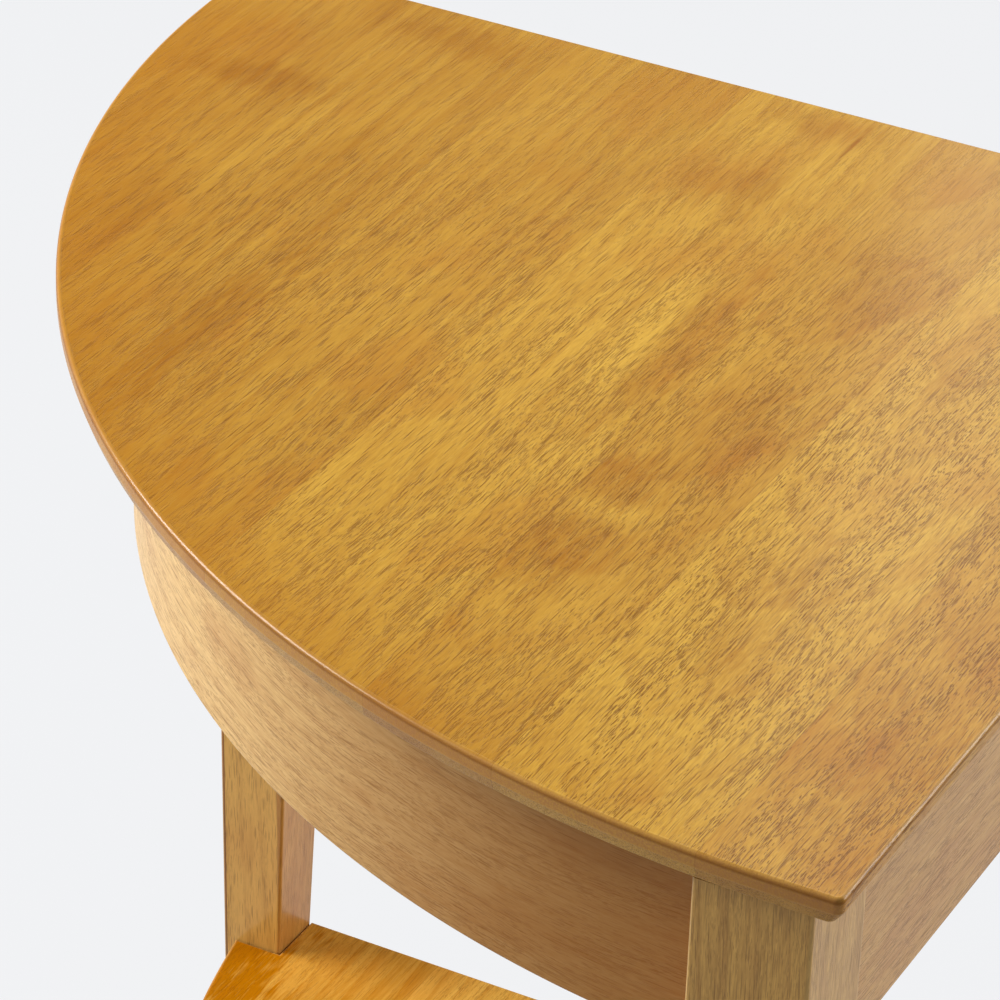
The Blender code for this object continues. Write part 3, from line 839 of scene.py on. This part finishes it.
def tabletopRings():
    # the outline at each row of the edge, closed over both faces
    rows, masks = edgeProfile()
    outlines = [planOutline(front, wall, radius) for level, front, wall, radius in rows]
    stack = [toWorld(line[:, 0], line[:, 1], row[0]) for line, row in zip(outlines, rows)]
    shrink, steps = tabletop["shrink"], tabletop["arcSteps"]
    masks = {name: np.pad(mask, len(shrink))[:, None] for name, mask in masks.items()}
    faces = endShare(outlines[plan["uprightRow"]])
    # from the second point of the front curve, after two corners and a side
    start = 2 * (tabletop["cornerSteps"] + 1) + tabletop["sideSteps"]
    far, near = tabletop["rimFades"]
    ahead = np.arange(steps)
    onCurve = np.zeros(len(faces))
    onCurve[start:start + steps] = np.clip(np.minimum(ahead / far, ahead[::-1] / near), 0, 1)
    masks["endGrain"] = masks["endGrain"] * faces
    masks["rim"] = masks["rim"] * onCurve
    return closedFaces(stack, stack[0].mean(0), stack[-1].mean(0), shrink), masks


honeyTop = lacquered(
    "honeyTop",
    tabletop["look"],
    tabletop["staves"],
    tabletop["marks"],
    tabletop["strips"],
    tabletop["thinCoat"],
)
fibres = fibresFrom([0, 1, 2], (0, 0, plan["height"]))
addPiece("tabletop", *tabletopRings(), fibres, honeyTop, "honey_lacquer", "Board")
print("tabletop made")


# legs

legs = {
    # radius and steps of the rounded arrises
    "round": (0.0013, 6),
    "footEase": 0.0010,
    "taperRings": 24,
    # between the rings where the taper ends
    "kneeStep": 0.001,
    # corner in plan, the way in from it along u and v, and a shift along the fibres
    "places": {
        "corner_leg": (plan["wallOverhang"], plan["wallOverhang"], 1, 1, 1.7),
        "left_leg": (farLegOuter, plan["wallOverhang"], -1, 1, 3.4),
        "right_leg": (plan["wallOverhang"], farLegOuter, 1, -1, 5.1),
    },
    # painted light and shade, not boards: one band edge sits at the far leg's left arris and one at
    # the right arris of the corner and right legs, so that the far leg's left face is darker than its
    # front and those legs' right faces paler than their fronts; the glue lines drawn there fall on the
    # arrises as thin dark lines
    "staves": [
        (-0.240, 0.96, 0.10, 0.41, 0.50, 0.50),
        (-0.2168, 0.04, 0.00, 0.66, 0.50, 0.50),
        (-0.1925, 0.50, 0.55, 0.77, 0.50, 0.50),
        (0.050, 0.32, 0.08, 0.23, 0.50, 0.80),
        (0.2127, 0.08, 0.04, 0.88, 0.50, 0.80),
    ],
    "look": {
        "wood": {
            "Ring Amount": 0.12,
            "Streak Amount": 0.42,
            "Cloud Amount": 0.24,
            "Line Amount": 0.48,
            "Pale": linear(222, 174, 88),
            # the deep tone is this dark so that the far leg's left face can be painted in shade
            "Deep": linear(126, 80, 16),
            "Red": linear(180, 112, 44),
            "Pore": linear(100, 60, 12),
        },
        "poreAmount": 0.50,
        "fleckAmount": 1.50,
        "backShare": 1.0,
        "jointWidth": 0.0003,
        "bumpStrength": 0.35,
        "bumpDepth": 0.0002,
        "specular": 0.25,
        "coat": 0.40,
        "coatRoughness": 0.16,
    },
}


def legRings(u, v, inU, inV):
    # the leg's rounded square at each level, eased at the foot
    foot, ease, top = plan["footLevel"], legs["footEase"], plan["frameTop"]
    turn = np.radians([0, 30, 60, 90])
    knee, step = plan["railBottom"], legs["kneeStep"]
    levels = np.concatenate([
        foot + ease * (1 - np.cos(turn)),
        np.linspace(foot + 2 * ease, knee - step, legs["taperRings"]),
        [knee, knee + step, top - 2 * step, top],
    ])
    eased = np.pad(ease * (1 - np.sin(turn)), (0, len(levels) - len(turn)))
    stack = []
    for level, inset in zip(levels, eased):
        far = legWidthAt(level) - inset
        square, rounds = roundedBox((inset, inset), (far, far), *legs["round"])
        stack.append(toWorld(u + square[:, 0] * inU, v + square[:, 1] * inV, level))
    if inU * inV < 0:
        stack = [ring[::-1] for ring in stack]
        rounds = rounds[::-1]
    return np.array(stack), {"arris": rounds, "endGrain": 0.0}


tanLeg = lacquered("tanLeg", legs["look"], legs["staves"])
for node, (u, v, inU, inV, along) in legs["places"].items():
    # across is x, along is z moved on for each leg, and deep is y from the leg
    fibres = fibresFrom([0, 2, 1], (0, -along, plan["side"] / 2 - v))
    addPiece(node, *legRings(u, v, inU, inV), fibres, tanLeg, "tan_lacquer")
print("legs made")


# straight rails

straightRails = {
    "thickness": 0.018,
    "recess": 0.0065,
    "round": (0.0009, 5),
    "rings": 25,
    # the axes across, along and into each rail, and where its pattern starts along it
    "fibres": {"left_rail": ([2, 0, 1], 0), "right_rail": ([2, 1, 0], 2.3)},
    "depthStart": 0.2,
    "look": {
        "wood": {
            "Tone": 0.44,
            "Redness": 0.15,
            "Heart": 0.35,
            "Ring Amount": 0.12,
            "Streak Amount": 0.32,
            "Cloud Amount": 0.22,
            "Pore Amount": 0.55,
            "Line Amount": 0.58,
            "Pale": linear(220, 170, 84),
            "Deep": linear(164, 110, 28),
            "Red": linear(182, 116, 44),
            "Pore": linear(100, 58, 16),
        },
        "bumpStrength": 0.45,
        "bumpDepth": 0.00022,
        "specular": 0.25,
        "coat": 0.40,
        "coatRoughness": 0.16,
    },
}
railMiddle = (plan["railBottom"] + plan["frameTop"]) / 2


def railRings(alongU):
    # a rounded section carried in a straight line from the corner leg to a far leg
    outer = plan["wallOverhang"] + straightRails["recess"]
    section, rounds = roundedBox(
        (outer, plan["railBottom"]),
        (outer + straightRails["thickness"], plan["frameTop"]),
        *straightRails["round"],
    )
    start, end = legInner + plan["gap"], farLegInner - plan["gap"]
    along = np.linspace(start, end, straightRails["rings"])[:, None]
    if alongU:
        rings = toWorld(along, section[None, :, 0], section[None, :, 1])
    else:
        rings = toWorld(section[None, :, 0], along, section[None, :, 1])[::-1]
    return rings, {"arris": rounds, "endGrain": 0.0}


tanRail = lacquered("tanRail", straightRails["look"])
for node, (axes, along) in straightRails["fibres"].items():
    fibres = fibresFrom(axes, (railMiddle, along, straightRails["depthStart"]))
    addPiece(node, *railRings(node == "left_rail"), fibres, tanRail, "tan_lacquer")
print("straight rails made")


# bent front rail

bentRail = {
    "radius": 0.384,
    "recess": 0.024,
    # the board darkens and reddens towards its right end: partly painted shade, where the curve turns
    # from the key lamp, and partly the wood's own redder tone there: shares of its length, then mask,
    # strength, colour
    "deepening": (0.52, 0.96),
    "strips": [("deepEnd", 0.74, linear(146, 84, 0))],
    "thickness": 0.012,
    "round": (0.0009, 5),
    "steps": 220,
    "look": {
        "wood": {
            "Tone": 0.15,
            "Redness": 0.06,
            "Heart": 0.50,
            "Ring Amount": 0.10,
            "Streak Amount": 0.22,
            "Cloud Amount": 0.12,
            "Pore Amount": 0.50,
            "Line Amount": 0.50,
            # the pale tone is partly painted sheen: its extra blue stands in for the lacquer's pale
            # reflection towards the left end
            "Pale": linear(228, 189, 122),
            "Deep": linear(148, 91, 2),
            "Red": linear(160, 90, 0),
            "Pore": linear(98, 56, 8),
        },
        "bumpStrength": 0.45,
        "bumpDepth": 0.00022,
        "specular": 0.05,
        "coat": 0.34,
        "coatRoughness": 0.16,
    },
}
bentMiddle = bowMiddle(bentRail["recess"], bentRail["radius"], legInner + plan["gap"])


def bentRings():
    # each point of the section runs round the curve, from one leg's face to the other's
    section, rounds = roundedBox(
        (bentRail["radius"] - bentRail["thickness"], plan["railBottom"]),
        (bentRail["radius"], plan["frameTop"]),
        *bentRail["round"],
    )
    radius = section[None, :, 0]
    start = np.arcsin((legInner + plan["gap"] - bentMiddle) / radius)
    share = np.linspace(0, 1, bentRail["steps"] + 1)[:, None]
    angle = start + share * (math.pi / 2 - 2 * start)
    u, v = bentMiddle + radius * np.cos(angle), bentMiddle + radius * np.sin(angle)
    rings = toWorld(u, v, section[None, :, 1])
    # the painted shade rises smoothly over the right end of the board
    low, high = bentRail["deepening"]
    deep = np.clip((share - low) / (high - low), 0, 1)
    deep = deep**2 * (3 - 2 * deep)
    return rings[::-1], {"arris": rounds, "endGrain": 0.0, "deepEnd": deep[::-1]}


def fibresRoundCurve(points):
    # across is z, along is the length of arc, and deep is the distance from the centre
    middle = plan["side"] / 2 - bentMiddle
    x, y = points[:, 0] - middle, points[:, 1] - middle
    along = np.arctan2(-y, -x) * bentRail["radius"]
    return np.stack([points[:, 2] - railMiddle, along, np.hypot(x, y) - bentRail["radius"]], axis=1)


tanBend = lacquered("tanBend", bentRail["look"], strips=bentRail["strips"])
addPiece("bent_front_rail", *bentRings(), fibresRoundCurve, tanBend, "tan_lacquer")
print("bent rail made")


# shelf

shelf = {
    "height": 0.1725,
    "thickness": 0.015,
    "recess": 0.006,
    "radius": 0.492,
    "ease": 0.0015,
    "easeSteps": 6,
    # the ring on each face that keeps it flat, in from the rounded edge
    "flatRing": 0.0004,
    "arcSteps": 240,
    "sideSteps": 48,
    "notchSteps": 6,
    "bowNotchSteps": 4,
    "middle": (0.19, 0.19),
    "shrink": (0.94, 0.8, 0.6, 0.4, 0.2, 0.07),
    "patternStart": 2.9,
    "staves": [
        (-0.240, 0.62, 0.10, 0.33, 0.92, 0.50),
        (-0.131, 0.42, 0.08, 0.71, 0.95, 0.60),
        (-0.062, 0.46, 0.14, 0.13, 0.30, 0.55),
        (0.014, 0.34, 0.10, 0.52, 0.90, 0.60),
        (0.081, 0.36, 0.14, 0.97, 0.72, 0.70),
        (0.147, 0.24, 0.10, 0.25, 0.96, 0.60),
    ],
    # across, along, two radii, two sides, strength; this mark is painted shade, the shelf's left end
    # made deeper and redder where the lacquer shows no reflection
    "marks": [(-0.214, -2.75, 0.040, 0.09, -0.240, -0.131, 0.70)],
    "look": {
        "wood": {
            "Ring Amount": 0.15,
            "Streak Amount": 0.50,
            "Cloud Amount": 0.36,
            "Line Amount": 0.35,
            "Pale": linear(228, 178, 82),
            "Deep": linear(164, 102, 0),
            "Red": linear(184, 104, 4),
            "Pore": linear(104, 54, 4),
            "End": linear(138, 78, 14),
        },
        "poreAmount": 0.70,
        "fleckAmount": 1.20,
        "backShare": 1.0,
        "jointWidth": 0.00025,
        "bumpStrength": 0.4,
        "bumpDepth": 0.00022,
        "specular": 0.02,
        "coat": 0.06,
        "coatRoughness": 0.16,
    },
}


def shelfOutline(inset):
    # the quarter round with a square notch at each leg, drawn in by the inset
    notch = legWidthAt(shelf["height"]) + plan["gap"]
    low = plan["wallOverhang"] + inset
    near = plan["wallOverhang"] + notch + inset
    edge = farLegOuter - notch - inset
    middle = bowMiddle(shelf["recess"], shelf["radius"], plan["wallOverhang"] + notch)
    radius = shelf["radius"] - inset
    start = math.degrees(math.asin((near - middle) / radius))
    bow = arcPoints((middle, middle), radius, start, 90 - start, shelf["arcSteps"])
    side, notched, short = shelf["sideSteps"], shelf["notchSteps"], shelf["bowNotchSteps"]
    before = [(near, low), (edge, low), (edge, near), tuple(bow[0])]
    behind = [tuple(bow[-1]), (near, edge), (low, edge), (low, near), (near, near), (near, low)]
    outline = [np.array(before[:1])]
    for a, b, steps in zip(before, before[1:], (side, notched, short)):
        outline += [straightPoints(a, b, steps), np.array([b])]
    outline.append(bow[1:])
    for a, b, steps in zip(behind, behind[1:], (short, notched, side, notched, notched)):
        outline += [straightPoints(a, b, steps), np.array([b])]
    return np.vstack(outline)[:-1]


def shelfRings():
    # the outline at each row of the rounded edges, closed over both faces
    ease, top = shelf["ease"], shelf["height"]
    low = top - shelf["thickness"]
    turn = np.radians(np.linspace(0, 90, shelf["easeSteps"] + 1))
    flat = [ease + shelf["flatRing"]]
    inset = np.concatenate([flat, ease * (1 - np.sin(turn)), ease * (1 - np.cos(turn)), flat])
    rise = ease * (1 - np.cos(turn))
    level = np.concatenate([[low], low + rise, top - rise[::-1], [top]])
    outlines = [shelfOutline(depth) for depth in inset]
    stack = [toWorld(line[:, 0], line[:, 1], z) for line, z in zip(outlines, level)]
    below, above = toWorld(*shelf["middle"], low), toWorld(*shelf["middle"], top)
    pad = np.zeros(len(shelf["shrink"]) + 1)
    bump = np.sin(2 * turn)
    arris = np.concatenate([pad, bump, bump, pad])
    upright = np.concatenate([pad, np.sin(turn), np.cos(turn), pad])
    ends = upright[:, None] * endShare(outlines[plan["uprightRow"]])
    masks = {"arris": arris[:, None], "endGrain": ends}
    return closedFaces(stack, below, above, shelf["shrink"]), masks


amberShelf = lacquered("amberShelf", shelf["look"], shelf["staves"], shelf["marks"])
fibres = fibresFrom([0, 1, 2], (0, shelf["patternStart"], shelf["height"]))
addPiece("shelf", *shelfRings(), fibres, amberShelf, "amber_lacquer", "Board")
print("shelf made")


# turned pieces: glides under the feet, and screws

turned = {
    "glideSides": 64,
    "glideInset": 0.01025,
    # radius and height, from the middle of the sole up to the tip of the pin
    "glide": [
        (0.0010, 0.00025), (0.0040, 0.00020), (0.0062, 0.0), (0.0072, 0.0), (0.00745, 0.00006),
        (0.00770, 0.00022), (0.00790, 0.00048), (0.00800, 0.00080), (0.00800, 0.00215),
        (0.00794, 0.00245), (0.00778, 0.00275), (0.00750, 0.00292), (0.00710, 0.00300),
        (0.00150, 0.00300), (0.00140, 0.00312), (0.00140, 0.01380), (0.00100, 0.01450),
        (0.00040, 0.01490),
    ],
    "screwSides": 96,
    "headRadius": 0.0035,
    "headDepth": 0.0022,
    "shankRadius": 0.00175,
    "tipLength": 0.004,
    "recessDepth": 0.0013,
    "recessReach": 0.0022,
    "recessHalfWidth": 0.00050,
    "recessWall": 0.00018,
    "recessTurn": 27,
    # how much too deep the cross's taper starts, before the recess's depth cuts it off
    "recessTaper": 1.35,
    "faceRings": 22,
    # noise between which the second colour, and the second roughness, take over
    "tintBand": (0.35, 0.65),
    "roughBand": (0.3, 0.7),
    "looks": {
        "glidePlastic": {
            "colours": (linear(92, 66, 50), linear(72, 50, 38)),
            "mottle": 0.004,
            "mottleDetail": 2,
            "roughness": (0.42, 0.60),
            "metallic": 0,
            # size of the leathery skin
            "skin": 0.0004,
            "bumpStrength": 0.3,
            "bumpDepth": 0.0001,
        },
        "zincSteel": {
            "colours": (linear(214, 212, 206), linear(178, 176, 172)),
            "mottle": 0.0009,
            "mottleDetail": 3,
            "roughness": (0.24, 0.46),
            "metallic": 1,
        },
    },
}


def turnedRings(profile, sides):
    # radius times cosine and sine round the axis, with the profile's height
    angle = np.linspace(0, 2 * math.pi, sides, endpoint=False)
    radius, height = np.array(profile).T[:, :, None]
    return np.stack(
        np.broadcast_arrays(radius * np.cos(angle), radius * np.sin(angle), height), axis=-1
    )


def screwRings(length):
    # a turned shank and countersunk head, its face sunk by a cross that tapers outwards
    head, neck = turned["headRadius"], turned["headDepth"]
    shank, tip = turned["shankRadius"], turned["tipLength"]
    side = [
        (0.0001, -length), (shank * 0.55, tip * 0.45 - length), (shank, tip - length),
        (shank, -neck - 0.0004), (shank * 1.06, -neck), (head * 0.975, -0.00022),
        (head, -0.00012), (head * 0.985, -0.00003), (head * 0.955, 0),
    ]
    face = [(head * share, 0) for share in np.linspace(0.92, 0.03, turned["faceRings"])]
    rings = turnedRings(side + face, turned["screwSides"])
    places = np.abs(rings[len(side):, :, :2])
    wide = np.clip((turned["recessHalfWidth"] - places) / turned["recessWall"], 0, 1)
    long = np.clip(turned["recessTaper"] * (1 - places[:, :, ::-1] / turned["recessReach"]), 0, 1)
    rings[len(side):, :, 2] -= turned["recessDepth"] * (wide * long).max(axis=2)
    return rings


def screwDirection(node):
    # the way that the screw is driven: up into the top, or out into its rail
    if "top_screw" in node:
        return (0, 0, 1)
    if node.startswith("front_block"):
        turn = math.radians(plan["blockTurn"] * int(node.split("_")[2]))
        return (-math.cos(turn), -math.sin(turn), 0)
    return (0, 1, 0) if node.startswith("left") else (1, 0, 0)


def mottled(name):
    # colour and gloss that drift with a mottle, on a fine skin where the look has one
    look = turned["looks"][name]
    material, tree, shader = newMaterial(name)
    place = objectPlace(tree)
    mottle = noiseAt(tree, place, [look["mottle"]] * 3, look["mottleDetail"])
    share = remap(tree, mottle, *turned["tintBand"])
    fill(tree, shader, {
        "Base Color": mixColours(tree, share, *look["colours"]),
        "Roughness": remap(tree, mottle, *turned["roughBand"], *look["roughness"]),
        "Metallic": look["metallic"],
    })
    if "skin" in look:
        skin = noiseAt(tree, place, [look["skin"]] * 3, 2)
        fill(tree, shader, {"Normal": bumped(tree, skin, look)})
    return material


glidePlastic = mottled("glidePlastic")
unturned = fibresFrom([0, 1, 2])
for node, (u, v, inU, inV, along) in legs["places"].items():
    inset = turned["glideInset"]
    rings = turnedRings(turned["glide"], turned["glideSides"])
    rings = rings + toWorld(u + inU * inset, v + inV * inset, 0)
    addPiece(node + "_glide", rings, {}, unturned, glidePlastic, "brown_plastic")


def screwPlace(node):
    # the axes, the middle of the head and the length that the frame's own screw has
    drive = np.array(screwDirection(node))
    vertices = nodes[node].data.vertices
    points = np.empty(len(vertices) * 3)
    vertices.foreach_get("co", points)
    points = points.reshape(-1, 3)
    depth = points @ drive
    middle = (points.min(0) + points.max(0)) / 2
    middle = middle + drive * (depth.min() - middle @ drive)
    aside = np.array([0, 0, 1.0] if drive[2] == 0 else [1.0, 0, 0])
    turn = math.radians(turned["recessTurn"] * (1 + len(node) % 3))
    first = aside * math.cos(turn) + np.cross(-drive, aside) * math.sin(turn)
    return np.array([first, np.cross(-drive, first), -drive]), middle, depth.max() - depth.min()


zincSteel = mottled("zincSteel")
for node in sorted(name for name in nodes if "screw" in name):
    axes, middle, length = screwPlace(node)
    addPiece(node, screwRings(length) @ axes + middle, {}, unturned, zincSteel, "zinc_steel")
print("glides and screws made")


# bare wood that stays as the frame has it: battens, blocks and dowels

bareWood = {
    "turnPerSeed": 40,
    "raw": {
        "wood": {
            "Tone": 0.5,
            "Redness": 0.1,
            "Heart": 0.06,
            "Ring Amount": 0.45,
            "Pore Amount": 0.35,
            "Pale": linear(226, 200, 156),
            "Deep": linear(200, 164, 112),
            "Red": linear(196, 152, 104),
            "Pore": linear(150, 108, 66),
        },
        "bumpStrength": 0.5,
        "bumpDepth": 0.00025,
        "specular": 0.3,
    },
    "beech": {
        "wood": {
            "Tone": 0.5,
            "Redness": 0.2,
            "Heart": 0.4,
            "Ring Amount": 0.2,
            "Fleck Amount": 0.7,
            "Pore Amount": 0.3,
            "Pale": linear(224, 188, 148),
            "Deep": linear(202, 160, 116),
            "Red": linear(200, 148, 110),
            "Pore": linear(150, 104, 70),
        },
        "bumpStrength": 0.5,
        "bumpDepth": 0.0002,
        "specular": 0.3,
    },
}


def planed(name, look, degrees):
    # bare wood whose fibres run level, turned from x by the degrees, which also seed it
    material, tree, shader = newMaterial(name)
    turn = (0, 0, math.radians(90 - degrees))
    mapping = newNode(tree, "ShaderNodeMapping", {"Vector": objectPlace(tree), "Rotation": turn})
    seed = degrees / bareWood["turnPerSeed"]
    found = useGroup(tree, woodGroup, dict(look["wood"], Grain=mapping.outputs[0], Seed=seed))
    finishWood(tree, shader, look, found["Color"], found)
    return material


def dress(node, material):
    # the frame's piece stays as it is and takes the material
    nodes[node].material_slots[0].material = material


dress("left_batten", planed("bareAlongX", bareWood["raw"], 0))
dress("right_batten", planed("bareAlongY", bareWood["raw"], 90))
for order in (1, 2, 3):
    degrees = plan["blockTurn"] * order + 90
    dress(f"front_block_{order}", planed(f"bareBlock{order}", bareWood["raw"], degrees))
beechAlongX = planed("beechAlongX", bareWood["beech"], 0)
beechAlongY = planed("beechAlongY", bareWood["beech"], 90)
for node in sorted(name for name in nodes if "dowel" in name):
    low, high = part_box(node)
    dress(node, beechAlongX if high[0] - low[0] > high[1] - low[1] else beechAlongY)
print("bare wood dressed")


# floor, light and camera

stageLook = {
    "floorReach": 6.0,
    "floorColour": linear(165, 166, 168),
    "floorRoughness": 0.9,
    # how much of the backdrop's light the floor adds for the camera and for reflections
    "backdropShare": 0.84,
    "glossyShare": 0.45,
    "backdropColour": linear(248, 249, 251),
    "worldNear": linear(238, 239, 241),
    "worldAbove": linear(134, 135, 137),
    # heights of the sky's directions between which the world dims
    "worldBand": (0.06, 0.16),
    # name, direction round from x and up, distance, size, power
    "lamps": [
        ("keyBox", 190, 28, 2.6, (1.5, 1.1), 100),
        ("rightBox", 46, 18, 2.6, (1.4, 1.2), 46),
        ("backBox", 84, 30, 2.7, (2.2, 1.7), 22),
    ],
    "target": (0, 0, 0.52),
}


def makeFloor():
    # a matt sheet, plus the pale light of a backdrop for the rays that look at it
    reach = stageLook["floorReach"]
    corners = [(-reach, -reach, 0), (reach, -reach, 0), (reach, reach, 0), (-reach, reach, 0)]
    mesh = bpy.data.meshes.new("paperFloor")
    mesh.from_pydata(corners, [], [(0, 1, 2, 3)])
    floor = addObject("paperFloor", mesh)
    material, tree, shader = newMaterial("paleFloor")
    fill(tree, shader, {
        "Base Color": stageLook["floorColour"],
        "Roughness": stageLook["floorRoughness"],
    })
    seen = newNode(tree, "ShaderNodeLightPath").outputs
    ray = maths(tree, "MAXIMUM", seen["Is Camera Ray"], seen["Is Transmission Ray"])
    share = product(tree, ray, stageLook["backdropShare"])
    mix = newNode(tree, "ShaderNodeMixShader", {
        0: weighed(tree, share, (seen["Is Glossy Ray"], stageLook["glossyShare"])),
        1: tree.nodes["Principled BSDF"].outputs[0],
        2: newNode(tree, "ShaderNodeEmission", {"Color": stageLook["backdropColour"]}).outputs[0],
    })
    fill(tree, tree.nodes["Material Output"].inputs, {"Surface": mix.outputs[0]})
    mesh.materials.append(material)


def makeLamps():
    # each box stands at its direction and distance from the target, and faces it
    for name, around, up, distance, size, power in stageLook["lamps"]:
        lamp = bpy.data.lights.new(name, "AREA")
        lamp.shape = "RECTANGLE"
        lamp.size, lamp.size_y = size
        lamp.energy = power
        box = addObject(name, lamp)
        turn, rise = math.radians(around), math.radians(up)
        way = (math.cos(rise) * math.cos(turn), math.cos(rise) * math.sin(turn), math.sin(rise))
        box.location = np.array(stageLook["target"]) + distance * np.array(way)
        box.rotation_euler = (math.pi / 2 - rise, 0, turn + math.pi / 2)


def makeWorld():
    # pale near the horizon and dimmer above, as in a studio
    world = bpy.data.worlds.new("studio")
    bpy.context.scene.world = world
    world.use_nodes = True
    tree = world.node_tree
    way = newNode(tree, "ShaderNodeTexCoord").outputs["Generated"]
    rise = remap(tree, separated(tree, way)["Z"], *stageLook["worldBand"])
    sky = mixColours(tree, rise, stageLook["worldNear"], stageLook["worldAbove"])
    fill(tree, tree.nodes["Background"].inputs, {"Color": sky})


# the photograph's view: right, up and back directions fitted to the edges
photoView = {
    "lens": 182.97,
    "sensor": 36,
    "clip": (0.05, 50),
    "place": (0.66211, -1.30096, 1.41392),
    "right": (0.882011, 0.470311, 0.031249),
    "up": (-0.264293, 0.438609, 0.858913),
    "back": (0.390178, -0.765759, 0.511158),
}


def makeCamera():
    # the fitted directions and place are the columns of the camera's matrix
    lens = bpy.data.cameras.new("photoView")
    lens.lens = photoView["lens"]
    lens.sensor_width = photoView["sensor"]
    lens.clip_start, lens.clip_end = photoView["clip"]
    camera = addObject("photoView", lens)
    matrix = np.eye(4)
    matrix[:3] = np.array([photoView[way] for way in ("right", "up", "back", "place")]).T
    camera.matrix_world = Matrix(matrix.tolist())
    bpy.context.scene.camera = camera


makeFloor()
makeLamps()
makeWorld()
makeCamera()
bpy.context.scene.view_settings.view_transform = "Standard"
print("stage made")
